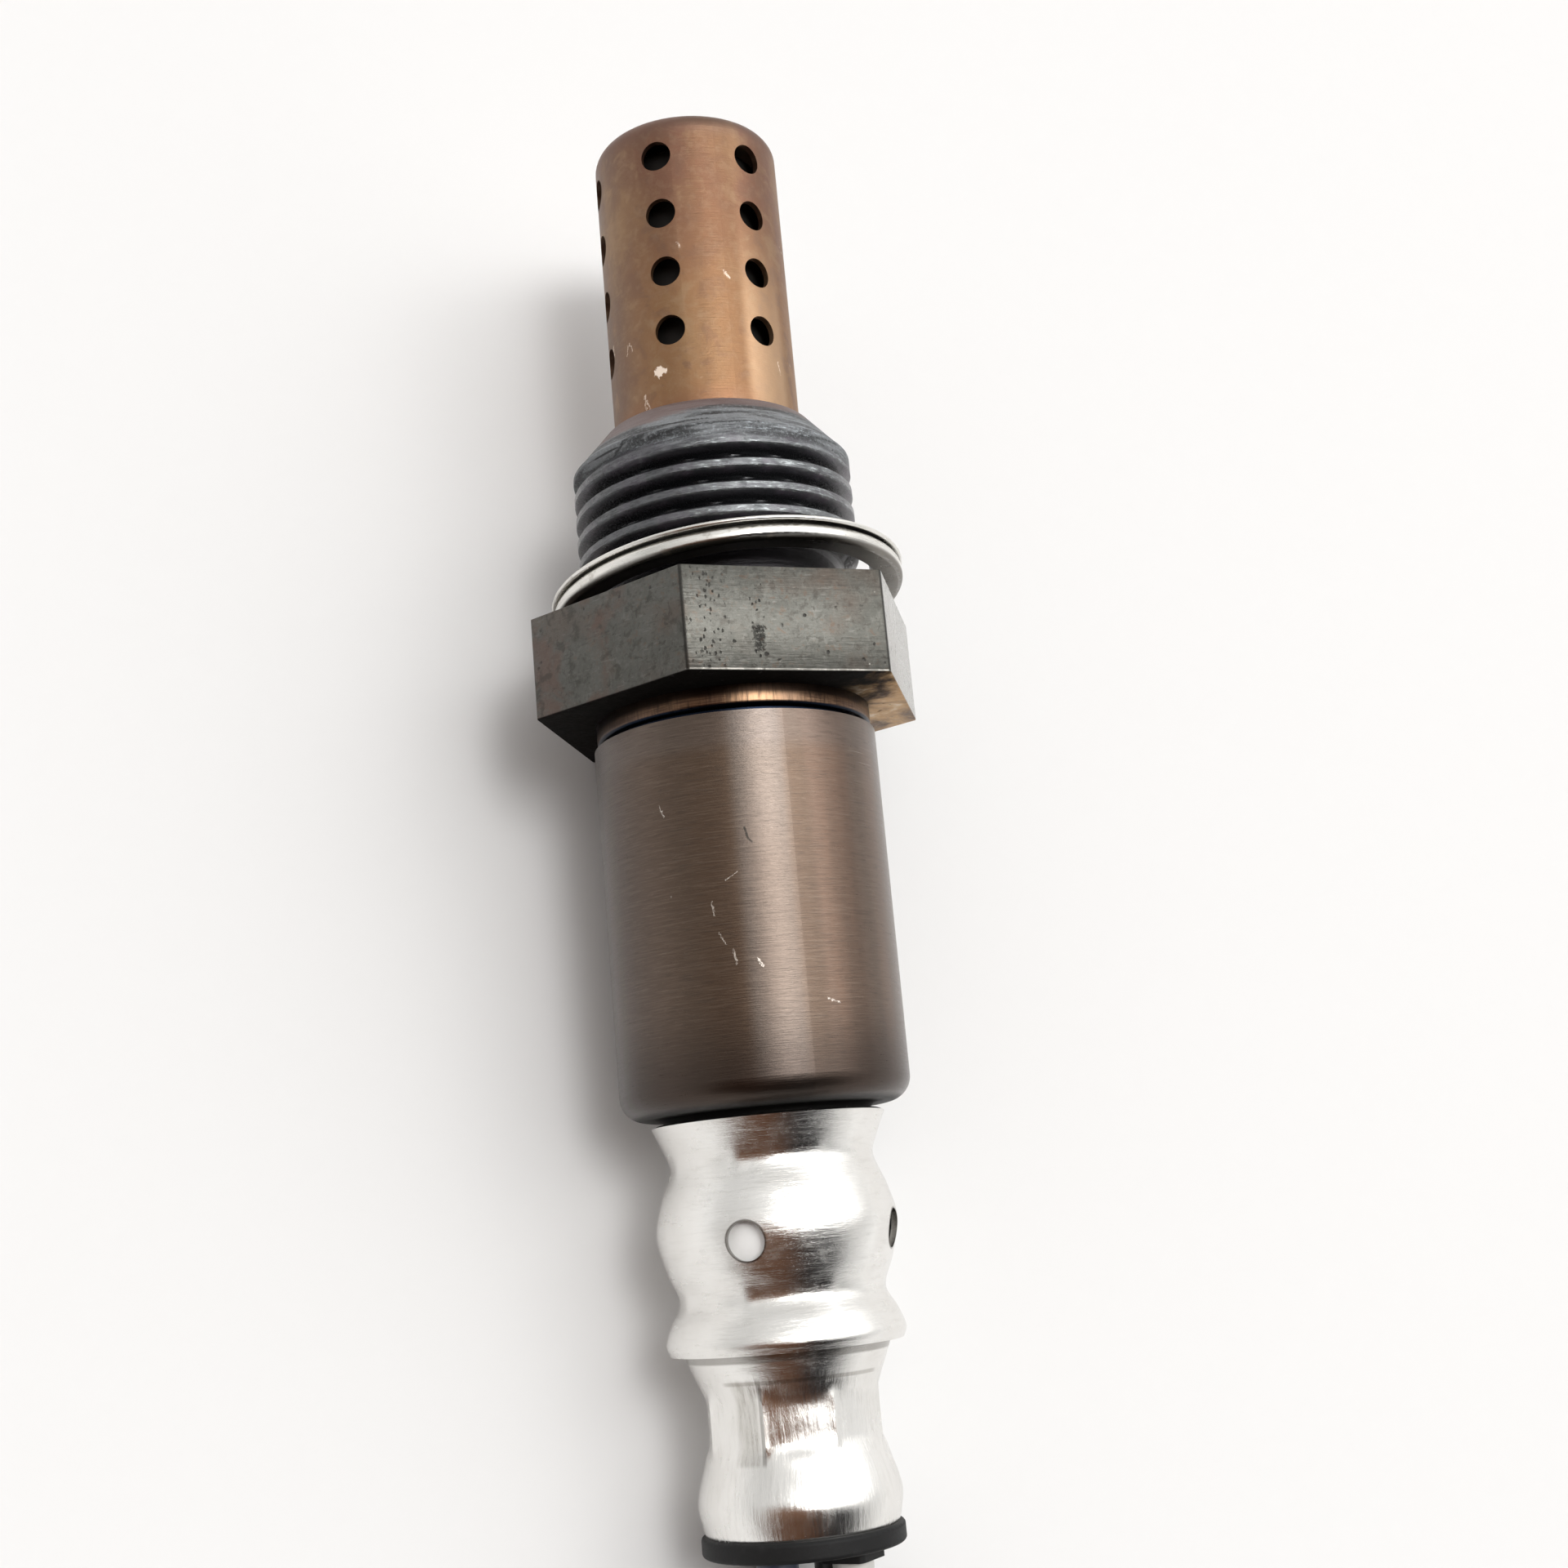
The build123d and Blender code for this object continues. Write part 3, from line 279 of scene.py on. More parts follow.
# Dark scores in the paste on the front cone.
PASTE_MARKS = (
    ((9.2, -66.0), (10.3, -50.0), 0.14), ((10.3, -50.0), (10.5, -18.0), 0.11),
    ((10.0, -24.0), (10.1, 2.0), 0.1), ((9.6, -44.0), (9.9, -30.0), 0.1),
    ((9.5, 20.0), (9.9, 44.0), 0.1), ((9.3, 40.0), (9.0, 66.0), 0.09))
SLEEVE_MARKS = (
    ((-19.4, -33.5), (-20.2, -32.4), 0.07), ((-21.2, -31.3), (-21.9, -29.6), 0.06),
    ((-22.3, -26.9), (-23.1, -26.2), 0.07), ((-22.9, -18.2), (-23.4, -15.6), 0.06),
    ((-18.2, -27.5), (-17.8, -23.0), 0.04), ((-25.4, 8.0), (-25.7, 13.0), 0.05),
    ((-13.2, -52.0), (-13.9, -50.5), 0.05), ((-27.0, 60.0), (-26.3, 64.0), 0.06),
    ((-16.0, 118.0), (-17.2, 121.0), 0.06), ((-12.0, -130.0), (-12.5, -124.0), 0.05))
SLEEVE_CURL = (((-15.2, -18.6), (-15.9, -17.6), 0.1), ((-15.8, -17.9), (-16.1, -16.2), 0.08))
CHIP_AZIMUTH, CHIP_STATION = -45.7, 15.2


def nose_finish(look):
    """Heat-tempered steel sheet of the outer cover: tan bronze, mauve near the tip, with painted shade at
    the left and in the middle and a painted highlight to the right.
    """
    finish = Finish("tempered_bronze")
    azimuth, station, _ = finish.round_sensor()
    blotch = finish.streaks(0.22, 0.1, 6.0, 4.0, 0.55)
    fine = finish.cloud(1.6, 6.0, 0.65)
    mottle = finish.cloud(0.62, 5.0, 0.62, 0.5)
    turning = finish.streaks(0.5, 9.0, 6.0, 6.0, 0.62)
    marks = finish.strokes(NOSE_RADIUS, NOSE_MARKS, 0.5).most(finish.specks(0.85, 0.14, 0.36) * 0.7)
    chip_turn = CHIP_AZIMUTH * DEGREE
    chip_place = (NOSE_RADIUS * math.sin(chip_turn), CHIP_STATION, NOSE_RADIUS * math.cos(chip_turn))
    spot = finish.vector("DISTANCE", finish.place, chip_place, out="Value")
    chip = 1.0 - (spot + (finish.cloud(2.6, 3.0, 0.6) - 0.5) * 1.1).step(0.36, 0.44)
    base = between((station + finish.cloud(0.16, 3.0) * 6.0).step(21.0, 32.0), tuple(look.nose_colour),
                   (0.208, 0.108, 0.072))
    base = finish.coats(
        base,
        # Darker and greyer at the left: painted shade.
        (azimuth.step(-40.0, -85.0) * 0.75, (0.16, 0.112, 0.088)),
        (blotch.step(0.5, 0.7) * 0.55, (0.31, 0.195, 0.105)),
        (blotch.step(0.48, 0.3) * 0.45, (0.2, 0.118, 0.07)),
        (mottle.step(0.5, 0.64) * 0.5, (0.19, 0.112, 0.078)),
        (mottle.step(0.47, 0.34) * 0.4, (0.33, 0.22, 0.13)),
        # Darker down the middle: painted shade.
        (azimuth.band(-14.0, 6.0, 10.0) * 0.5, (0.15, 0.08, 0.044)),
        # A pale band to the right, towards the base: painted highlight.
        (azimuth.band(15.0, 36.0, 9.0) * (27.0 - station).step(0.0, 11.0) * 0.4, (0.66, 0.46, 0.3)),
        ((14.2 - station).step(0.0, 1.5) * azimuth.band(-75.0, 5.0, 20.0) * 0.55, (0.26, 0.135, 0.08)),
        ((fine - 0.48).held() * 0.9, (0.42, 0.3, 0.2)),
        ((station - 30.9).step(0.0, 1.4) * 0.5, (0.17, 0.11, 0.095)),
        ((marks * 0.6).most(chip * 0.95).held(), (0.88, 0.74, 0.62)))
    return finish.surface(
        base, Metallic=(1.0 - chip * 0.8).held(),
        Roughness=(0.47 + (fine - 0.5) * 0.26 + marks * 0.1).held(),
        Normal=finish.bump(turning * 0.5 + fine * 0.7 + mottle * 0.5 + marks * 0.3 + chip * 0.8, 0.035, 0.7))


def inner_cover_finish():
    finish = Finish("sooty_inner_cover")
    finish.on_sensor()
    grain = finish.cloud(1.8, 5.0)
    return finish.surface(
        # Near black: painted shade, so the cover shows black through the holes.
        between(grain, (0.002, 0.0018, 0.0015), (0.012, 0.009, 0.007)),
        Metallic=0.3, Roughness=0.62 + grain * 0.15, Normal=finish.bump(grain, 0.02, 0.4))


def hexagon_finish():
    """Forged hexagon: grey oxide, rubbed paler in streaks, with pits, dark smears and brown tints, and
    painted light and shade on its faces.
    """
    finish = Finish("forged_hexagon")
    azimuth, station, _ = finish.round_sensor()
    x, _, z = finish.parts(finish.place)
    cloud = finish.cloud(0.3, 4.0, 0.62, 0.4)
    rub = finish.noise(finish.joined(x * 1.5, station * 0.75, z * 1.5), 1.0, 6.0, 0.66, 0.5)
    mottle = finish.cloud(1.9, 5.0, 0.7, 0.3)
    grain = finish.cloud(3.6, 6.0, 0.72)
    milling = finish.noise(finish.joined(x * 0.35, station * 8.0, z * 0.35), 1.0, 3.0)
    dashes = finish.noise(finish.joined(x * 0.9, station * 5.0, z * 0.9), 1.0, 3.0, 0.55)
    pits = 1.0 - (finish.cells(finish.place, 1.25) + (grain - 0.5) * 0.25).step(0.08, 0.2)
    pits = pits * finish.cloud(0.8, 2.0).step(0.52, 0.6) * 0.7
    # Two rows of dents run back over the upper face, with a ragged gouge in one.
    upper = z.step(10.0, 10.6)
    rows = (1.0 - abs(x + 1.8).step(0.15, 0.6)).most((1.0 - abs(x + 4.9).step(0.5, 1.6)) * 0.62)
    knocks = finish.cells(finish.joined(x * 3.4, station * 2.1, z), 1.0) + (grain - 0.5) * 0.85
    gouge = (1.0 - abs(x + 1.78 + (mottle - 0.5) * 1.2).step(0.08, 0.42)) * station.band(-5.0, -3.9, 0.4)
    gouge = gouge * finish.cloud(5.2, 4.0, 0.7).step(0.4, 0.6) * upper
    pits = pits.most(((1.0 - knocks.step(0.08, 0.26)) * rows * upper).most(gouge * 0.75)).held()
    # The left face is darker: painted shade.
    left = azimuth.step(-29.7, -30.3)
    blush = finish.cloud(0.34, 4.0, 0.6, 0.5).step(0.44, 0.62) * azimuth.step(-32.0, -62.0)
    soot = finish.cloud(1.15, 4.0, 0.62, 0.6).step(0.53, 0.66)
    # The rear face is painted near black, partly soot and partly painted shade, with a straw and brown
    # painted reflection towards the right.
    rear = (-6.34 - station).step(0.0, 0.1)
    # The right face is painted near white: a painted highlight where it faces the light.
    right = azimuth.step(29.8, 30.3) * azimuth.step(92.0, 88.0) * (1.0 - rear)
    tint = rear * (x + (cloud - 0.5) * 7.0).step(4.5, 9.0)
    straw = between(cloud.step(0.38, 0.58), (0.115, 0.056, 0.02), (0.5, 0.3, 0.125))
    straw = finish.mix(cloud.step(0.56, 0.66) * 0.7, straw, (0.7, 0.6, 0.46))
    # The corners between the flats are drawn by a dark line, the rear edge by a bright painted highlight.
    corner = (1.0 - abs(abs(azimuth) - 30.0).step(0.25, 0.75)) * (1.0 - rear)
    edge = station.band(-6.36, -6.3, 0.04) * (1.0 - corner) * azimuth.band(-30.0, 30.0, 1.0)
    base = finish.coats(
        between(cloud.step(0.3, 0.72), (0.086, 0.085, 0.075), (0.118, 0.117, 0.105)),
        (rub.step(0.54, 0.7) * 0.45, (0.19, 0.188, 0.17)),
        (rub.step(0.46, 0.3) * 0.5, (0.058, 0.056, 0.05)),
        (mottle.step(0.54, 0.62) * 0.55, (0.05, 0.044, 0.037)),
        ((grain - 0.5).held() * 0.9, (0.33, 0.32, 0.29)),
        (finish.cloud(0.22, 2.0).step(0.52, 0.7) * 0.45, (0.105, 0.066, 0.048)),
        (mottle.step(0.45, 0.36) * cloud.step(0.42, 0.55) * 0.55, (0.12, 0.078, 0.054)),
        (dashes.step(0.6, 0.7) * 0.4, (0.04, 0.038, 0.034)),
        (dashes.step(0.38, 0.3) * 0.3, (0.24, 0.235, 0.215)),
        # Painted shade on the left face.
        (left * 0.25, (0.09, 0.089, 0.084)),
        (blush * 0.55, (0.115, 0.068, 0.054)),
        # Soot smears, heavier on the left face as painted shade.
        (soot * (0.22 + left * 0.28), (0.034, 0.031, 0.027)),
        # Painted highlight on the right face.
        (right * 0.75, (0.6, 0.59, 0.57)),
        (finish.specks(1.5, 0.12, 0.36) * 0.55, (0.55, 0.53, 0.48)),
        # Rear face near black: soot and painted shade.
        (rear * 0.97, (0.006, 0.005, 0.0045)),
        # Painted reflection on the right of the rear face.
        (tint * 0.9, straw),
        (pits * 0.92, (0.012, 0.011, 0.01)),
        (corner * 0.75, (0.022, 0.021, 0.019)),
        # Painted highlight along the rear edge.
        (edge * (0.45 + rub.step(0.46, 0.6) * 0.5), (0.62, 0.6, 0.55)))
    return finish.surface(
        base, Metallic=(0.85 - pits * 0.6 + rear * 0.15).held(),
        Roughness=(0.42 + (grain - 0.5) * 0.3 + (rub - 0.5) * 0.25 + pits * 0.3 + rear * 0.42
                   - tint * 0.4 - right * 0.14).held(),
        Normal=finish.bump(grain * 0.24 + milling * 0.2 + dashes * 0.25 + rub * 0.25 - pits * 1.5,
                           0.06, 0.75))


def thread_finish():
    """Threaded barrel: black oxide flanks under a thin smear of anti-seize paste that dries grey."""
    finish = Finish("greased_thread")
    azimuth, station, radius = finish.round_sensor()
    streak = finish.streaks(0.2, 1.9, 9.0, 6.0, 0.62, 0.6)
    thin = finish.streaks(0.45, 7.0, 9.0, 3.0, 0.5)
    grain = finish.cloud(5.5, 6.0, 0.75)
    blot = finish.cloud(0.42, 3.0, 0.55, 0.4)
    ragged = finish.streaks(1.3, 6.5, 9.0, 6.0, 0.74, 0.3)
    # Crests are paler than the roots, held darker on the left as painted shade.
    crest = radius.step(8.26, 8.87) * (0.45 + azimuth.step(-72.0, -18.0) * 0.55)
    # Worn crest tops, paler and brighter where lit: wear with a painted highlight.
    worn = radius.step(8.84, 8.97) * (1.0 - station.step(8.9, 9.2))
    cone = (station + (streak - 0.5) * 1.2).step(8.85, 9.35)
    lit = azimuth.band(-12.0, 34.0, 30.0)
    # Paste on the front cone: blue grey, brushed on round the nose.
    paste = finish.coats(
        between(streak.step(0.4, 0.6), (0.03, 0.032, 0.034), (0.19, 0.202, 0.212)),
        (thin.step(0.56, 0.66) * 0.7, (0.02, 0.021, 0.023)),
        ((grain - 0.5).held() * 2.2, (0.5, 0.55, 0.58)))
    smear = (cone * (0.7 + streak * 0.6) + (streak - 0.56).held() * crest * 1.6
             + blot.step(0.62, 0.74) * 0.25).held()
    # Sparkle: painted glints on the crests and the paste.
    sparkle = (grain - 0.62).held() * 5.0 * crest.most(cone) * (thin.step(0.4, 0.6))
    scored = finish.hairlines(0.22, 6.5, 0.6).most(finish.strokes(8.2, PASTE_MARKS, 0.6))
    glint = ragged.step(0.54, 0.62) * station.band(9.7, 10.1, 0.3) * azimuth.band(-2.0, 24.0, 10.0)
    # A mauve rim of heat tint where the lip is rolled on the cover.
    lip = (station + (streak - 0.5) * 1.6 + azimuth.step(-15.0, -60.0) * 0.7).step(11.5, 12.0)
    neck = 1.0 - station.step(2.9, 3.3)
    base = finish.coats(
        between(grain, (0.006, 0.0065, 0.008), (0.024, 0.025, 0.028)),
        (crest * (0.35 + streak.step(0.34, 0.6) * 0.65), (0.078, 0.076, 0.086)),
        (crest * blot.step(0.46, 0.62) * 0.6, (0.112, 0.09, 0.116)),
        # Worn crests, paler where lit: wear with a painted highlight.
        (worn * (0.25 + ragged.step(0.42, 0.58) * 0.75) * (0.45 + lit * 0.55), (0.17, 0.182, 0.186)),
        # Bright bits on the crests where lit: painted highlight.
        (worn * ragged.step(0.56, 0.64) * lit * 0.8, (0.5, 0.54, 0.55)),
        (smear * 0.92, paste),
        (sparkle.held() * 0.6, (0.6, 0.66, 0.7)),
        (scored.held() * cone * 0.85, (0.014, 0.015, 0.017)),
        (glint * cone * 0.65, (0.56, 0.62, 0.66)),
        (lip * 0.8, (0.15, 0.1, 0.092)),
        (neck * 0.92, (0.016, 0.014, 0.016)))
    return finish.surface(
        base, Metallic=(0.72 - smear * 0.55).held(), Coat_Weight=(0.3 * (1.0 - cone)).held(),
        Roughness=(0.27 + smear * 0.24 + (grain - 0.5) * 0.25 + crest * 0.05 - neck * 0.06).held(),
        Normal=finish.bump(grain * 0.45 + streak * 0.6 + thin * 0.35, 0.09, 0.8))


def collar_finish():
    """Turned collar behind the hexagon: bronze and copper tints, with a painted copper highlight in the
    middle, painted shade at the left and under the hexagon, and darkening to blue in the groove, partly heat
    tint and partly painted shade.
    """
    finish = Finish("bronze_collar")
    azimuth, station, _ = finish.round_sensor()
    turning = finish.streaks(0.8, 14.0, 8.6, 6.0, 0.62)
    chatter = finish.streaks(6.0, 0.8, 8.6, 3.0)
    base = finish.coats(
        between(turning.step(0.3, 0.7), (0.085, 0.05, 0.034), (0.235, 0.142, 0.086)),
        # A copper band in the middle: painted highlight.
        (azimuth.band(-16.0, 4.0, 10.0) * 0.55, (0.4, 0.245, 0.14)),
        (finish.cloud(0.35, 2.0).step(0.45, 0.7) * 0.4, (0.17, 0.115, 0.095)),
        ((chatter - 0.46).held() * 3.0, (0.05, 0.034, 0.026)),
        # Darker at the left: painted shade.
        (azimuth.step(-38.0, -70.0) * 0.6, (0.085, 0.06, 0.05)),
        # Near black at the front: painted shadow under the hexagon.
        ((station + 7.0).step(-0.25, 0.15) * 0.92, (0.02, 0.013, 0.01)),
        # Blue black in the groove: heat tint and painted shade.
        ((-7.5 - station).step(0.0, 0.12), (0.008, 0.012, 0.022)))
    return finish.surface(
        base, Metallic=1.0, Roughness=(0.34 + (turning - 0.5) * 0.2).held(),
        Normal=finish.bump(turning * 0.4 + chatter * 0.6, 0.02, 0.55))


def gasket_finish():
    """Folded stainless gasket: bright, faintly straw-coloured, with painted shade on the inside, where it is
    also duller, and under the roll, lighter under the roll to the right.
    """
    finish = Finish("stainless_gasket")
    azimuth, _, radius = finish.round_sensor()
    along = finish.streaks(0.5, 5.0, 11.3, 4.0)
    grain = finish.cloud(5.0, 4.0)
    inside = 1.0 - radius.step(9.9, 10.6)
    lean = math.radians(GASKET_LEAN)
    axis = (-math.sin(lean) * 0.5, math.cos(lean), -math.sin(lean) * math.sqrt(0.75))
    height = finish.vector("DOT_PRODUCT", finish.vector("SUBTRACT", finish.place, GASKET_CENTRE), axis,
                           out="Value")
    roll = 1.0 - ((height - 0.58) / 0.56) ** 2.0
    front = height.step(1.08, 1.14)
    outer = radius.step(10.5, 10.9)
    # Under the roll: painted shade.
    under = 1.0 - height.step(0.14, 0.46)
    base = finish.coats(
        between(along, (0.62, 0.605, 0.565), (0.9, 0.885, 0.845)),
        # Painted shade under the roll.
        (under * 0.93, (0.042, 0.036, 0.03)),
        # Lighter under the roll to the right: painted light.
        (under * azimuth.step(24.0, 44.0) * 0.55, (0.3, 0.28, 0.25)),
        (height.band(1.03, 1.15, 0.05) * outer * 0.9, (0.022, 0.019, 0.016)),
        # Darker on the inside: painted shade.
        (inside * 0.55, (0.2, 0.19, 0.18)),
        (finish.cloud(1.1, 3.0).step(0.62, 0.72) * 0.35, (0.24, 0.21, 0.17)))
    rounded = (roll * (1.0 - front) * outer).held() * 5.0
    return finish.surface(
        base, Metallic=1.0, Roughness=(0.23 + along * 0.1 + inside * 0.12).held(),
        Normal=finish.bump(rounded + along * 0.3 + grain * 0.1, 0.03, 0.9))


def sleeve_finish(look):
    """Tempered sleeve: brown oxide over fine turning, a ragged scrape, painted light and shade round and
    along it, and a blackened neck, partly heat tint and partly painted shade.
    """
    finish = Finish("tempered_sleeve")
    azimuth, station, _ = finish.round_sensor()
    turning = finish.streaks(0.5, 12.0, 8.9, 7.0, 0.62)
    dash = finish.streaks(0.85, 6.5, 8.9, 4.0, 0.6, 0.3)
    flick = finish.streaks(1.5, 9.0, 8.9, 5.0, 0.66, 0.5)
    lengthways = finish.streaks(0.3, 0.035, 8.9, 3.0)
    grain = finish.cloud(6.0, 4.0, 0.7)
    scrape = finish.strokes(SLEEVE_RADIUS, SLEEVE_MARKS, 0.55) * 0.6
    fleck = finish.specks(1.25, 0.085, 0.34)
    pale = scrape.most(fleck * 0.8).most(finish.hairlines(0.25, 14.0, 0.3) * 0.3).held()
    # The neck is painted near black: partly heat tint, partly painted shade.
    black = (-30.9 - station).step(-0.12, 0.22)
    middle = (station + 20.0).band(-4.0, 2.0, 5.0)
    oxide = tuple(look.sleeve_colour)
    base = finish.coats(
        between(finish.cloud(0.14, 3.0), tuple(c * 0.78 for c in oxide), oxide),
        # Reddish lengthways streaks from the middle to the right: painted reflection.
        (lengthways.step(0.48, 0.66) * azimuth.step(-22.0, 0.0) * 0.6, (0.19, 0.108, 0.07)),
        # A darker brown band left of the middle: painted shade.
        (azimuth.band(-34.0, -12.0, 10.0) * 0.45, (0.1, 0.06, 0.036)),
        # A paler band: painted highlight.
        (azimuth.band(-19.0, -4.0, 6.0) * 0.5, (0.128, 0.114, 0.104)),
        # Darker in the middle of the length: painted shade.
        (middle * azimuth.band(-14.0, 6.0, 8.0) * 0.35, (0.075, 0.05, 0.036)),
        # Lighter bands to the right: painted light.
        (azimuth.band(11.0, 28.0, 6.0) * 0.4, (0.168, 0.11, 0.084)),
        (azimuth.band(32.0, 60.0, 8.0) * 0.4, (0.15, 0.112, 0.088)),
        # Darker at the left: painted shade.
        (azimuth.step(-38.0, -80.0) * 0.6, (0.078, 0.064, 0.058)),
        # A paler band at the front rim: painted highlight.
        ((station + 8.1).band(-1.5, 0.4, 1.2) * 0.35, (0.128, 0.108, 0.098)),
        (dash.step(0.5, 0.7) * 0.34, (0.052, 0.037, 0.029)),
        ((turning - 0.48).held() * 0.8, (0.3, 0.235, 0.185)),
        (flick.step(0.56, 0.7) * 0.14, (0.3, 0.23, 0.18)),
        # Darker towards the rear: painted shade.
        ((-24.6 - station).step(0.0, 5.4) * 0.78, (0.034, 0.023, 0.018)),
        (pale, (0.78, 0.72, 0.65)),
        (finish.strokes(SLEEVE_RADIUS, SLEEVE_CURL, 0.1).held(), (0.03, 0.025, 0.02)),
        # Darker still towards the shoulder: painted shade.
        ((-30.1 - station).step(0.0, 1.2) * 0.55, (0.04, 0.031, 0.026)),
        # Near-black neck: heat tint and painted shade.
        (black, (0.006, 0.0055, 0.005)))
    return finish.surface(
        base, Metallic=(0.95 - black * 0.6 - pale * 0.2).held(),
        Coat_Weight=(0.32 - black * 0.32).held(), Coat_Roughness=0.34,
        Roughness=(0.315 + (turning - 0.5) * 0.22 + (grain - 0.5) * 0.1 + black * 0.25).held(),
        Normal=finish.bump(turning * 0.6 + dash * 0.5 + flick * 0.25 + grain * 0.2 + pale * 0.3,
                           0.026, 0.75))


def bright_finish():
    """Drawn stainless cover and casing: satin, with drawing marks round it and jaw marks along the crimp."""
    finish = Finish("bright_drawn_steel")
    azimuth, station, radius = finish.round_sensor()
    drawn = finish.streaks(0.55, 4.6, 6.8, 6.0, 0.72, 0.25)
    jaws = finish.streaks(3.6, 0.55, 5.4, 6.0, 0.7, 0.2)
    crimp = (-45.6 - station).step(0.0, 1.2)
    lines = drawn * (1.0 - crimp) + jaws * crimp
    grain = finish.cloud(3.0, 5.0, 0.7)
    dull = finish.cloud(0.8, 3.0).step(0.45, 0.75)
    # A thin dark ring of painted shade stands round each vent.
    across = ((azimuth + -VENT_AZIMUTH + 45.0) % 90.0 - 45.0) * (DEGREE * 7.2)
    rise = station - VENT_STATION
    rim = ((across * across + rise * rise) ** 0.5).band(VENT_RADIUS - 0.12, VENT_RADIUS + 0.05, 0.1)
    squeezed = station.band(CRIMP_STATIONS[1], CRIMP_STATIONS[0], 0.35)
    # Jaw marks, darker on one facet of the crimp: real marks with painted shade.
    jaw = azimuth.band(-55.0, -45.0, 6.0) * squeezed * (0.45 + jaws.step(0.36, 0.66) * 0.55)
    # A dark line of painted shadow runs under the rim of the cover, and a fainter line of painted shade
    # where the jaws begin.
    rim_shadow = station.band(-45.35, -45.05, 0.14) * (1.0 - radius.step(6.35, 6.6))
    shoulder_shade = station.band(-46.62, -46.5, 0.1) * azimuth.band(-60.0, 40.0, 6.0)
    base = finish.coats(
        between(finish.cloud(0.34, 3.0), (0.74, 0.72, 0.685), (0.92, 0.912, 0.89)),
        ((lines - 0.52).held() * 1.2, (0.5, 0.475, 0.44)),
        # Painted shade round the vents.
        (rim * 0.85, (0.14, 0.125, 0.11)),
        # A dark line beside one ridge of the crimp: painted shade.
        (azimuth.band(-40.4, -38.6, 0.9) * squeezed * 0.55, (0.2, 0.185, 0.165)),
        # Jaw marks on one facet, darkened by painted shade.
        (jaw * 0.55, (0.33, 0.305, 0.26)),
        # Painted shadow under the rim of the cover.
        (rim_shadow * 0.6, (0.155, 0.14, 0.12)),
        # Painted shade where the jaws begin.
        (shoulder_shade * 0.45, (0.27, 0.245, 0.21)))
    return finish.surface(
        base, Metallic=1.0, Normal=finish.bump(lines + grain * 0.12, 0.03, 0.85),
        Roughness=(0.18 + (lines - 0.45).held() * 0.35 + dull * 0.09 + (grain - 0.5) * 0.1).held())


def rubber_finish():
    finish = Finish("grommet_rubber")
    finish.on_sensor()
    grain = finish.cloud(5.0, 5.0, 0.7)
    base = finish.coats(
        between(grain, (0.0045, 0.0045, 0.0045), (0.011, 0.011, 0.0115)),
        (finish.cloud(1.2, 3.0).step(0.55, 0.8) * 0.3, (0.03, 0.03, 0.031)))
    return finish.surface(
        base, Roughness=0.58 + (grain - 0.5) * 0.25, Specular_IOR_Level=0.22,
        Normal=finish.bump(grain, 0.03, 0.5))


def lead_finish(name, colour):
    """Smooth extruded insulation with faint length marks."""
    finish = Finish(name)
    finish.on_floor()
    x, y, z = finish.parts(finish.place)
    streak = finish.noise(finish.joined(x * 3.0, y * 0.25, z * 3.0), 1.0, 3.0)
    return finish.surface(
        between(streak, tuple(c * 0.72 for c in colour), colour),
        Roughness=0.3 + streak * 0.15, Normal=finish.bump(streak, 0.01, 0.4))


BRAID_PITCH = 7.0
BRAID_YARNS = 12.0


def braid_finish():
    """Woven glass sleeving: two crossing sets of yarns wound round the cord."""
    finish = Finish("woven_sleeving")
    along, around, _ = finish.parts(finish.node("ShaderNodeTexCoord", out="UV"))
    first = (along / BRAID_PITCH + around) * BRAID_YARNS
    second = (along / BRAID_PITCH - around) * BRAID_YARNS
    over = ((first.floor() + second.floor()) * 0.5 % 1.0).step(0.2, 0.3)
    yarn = abs((first * math.pi).sine()) * over + abs((second * math.pi).sine()) * (1.0 - over)
    strand = finish.joined(first * (1.0 - over) + second * over, (first + second) * 0.05, 0.0)
    fibre = finish.noise(strand, 9.0, 3.0, 0.6)
    base = finish.coats(
        # Darker where the yarns meet: painted shade between them.
        between(yarn ** 0.7, (0.004, 0.004, 0.004), (0.04, 0.039, 0.037)),
        ((fibre - 0.45).held() * 0.9, (0.085, 0.083, 0.08)))
    return finish.surface(base, Roughness=(0.58 + fibre * 0.2).held(),
                          Normal=finish.bump(yarn * 0.8 + fibre * 0.25, 0.35, 0.8))


def plain_finish(name, low, high, metallic, roughness, on_floor=False):
    """A grained finish: two colours over a noise, with a little bump."""
    finish = Finish(name)
    (finish.on_floor if on_floor else finish.on_sensor)()
    grain = finish.cloud(2.5, 5.0, 0.6)
    return finish.surface(
        between(grain, low, high), Metallic=metallic,
        Roughness=roughness + (grain - 0.5) * 0.18, Normal=finish.bump(grain, 0.02, 0.5))


def silk_finish(name, colour, scale, roughness, depth=0.02):
    """Moulded plastic: a fine grained skin with a soft sheen."""
    finish = Finish(name)
    finish.on_floor()
    grain = finish.cloud(scale, 5.0, 0.65)
    base = between(finish.cloud(0.25, 3.0), tuple(c * 0.8 for c in colour),
                   tuple(min(1.0, c * 1.15) for c in colour))
    return finish.surface(base, Roughness=roughness + (grain - 0.5) * 0.25,
                          Normal=finish.bump(grain, depth, 0.6))


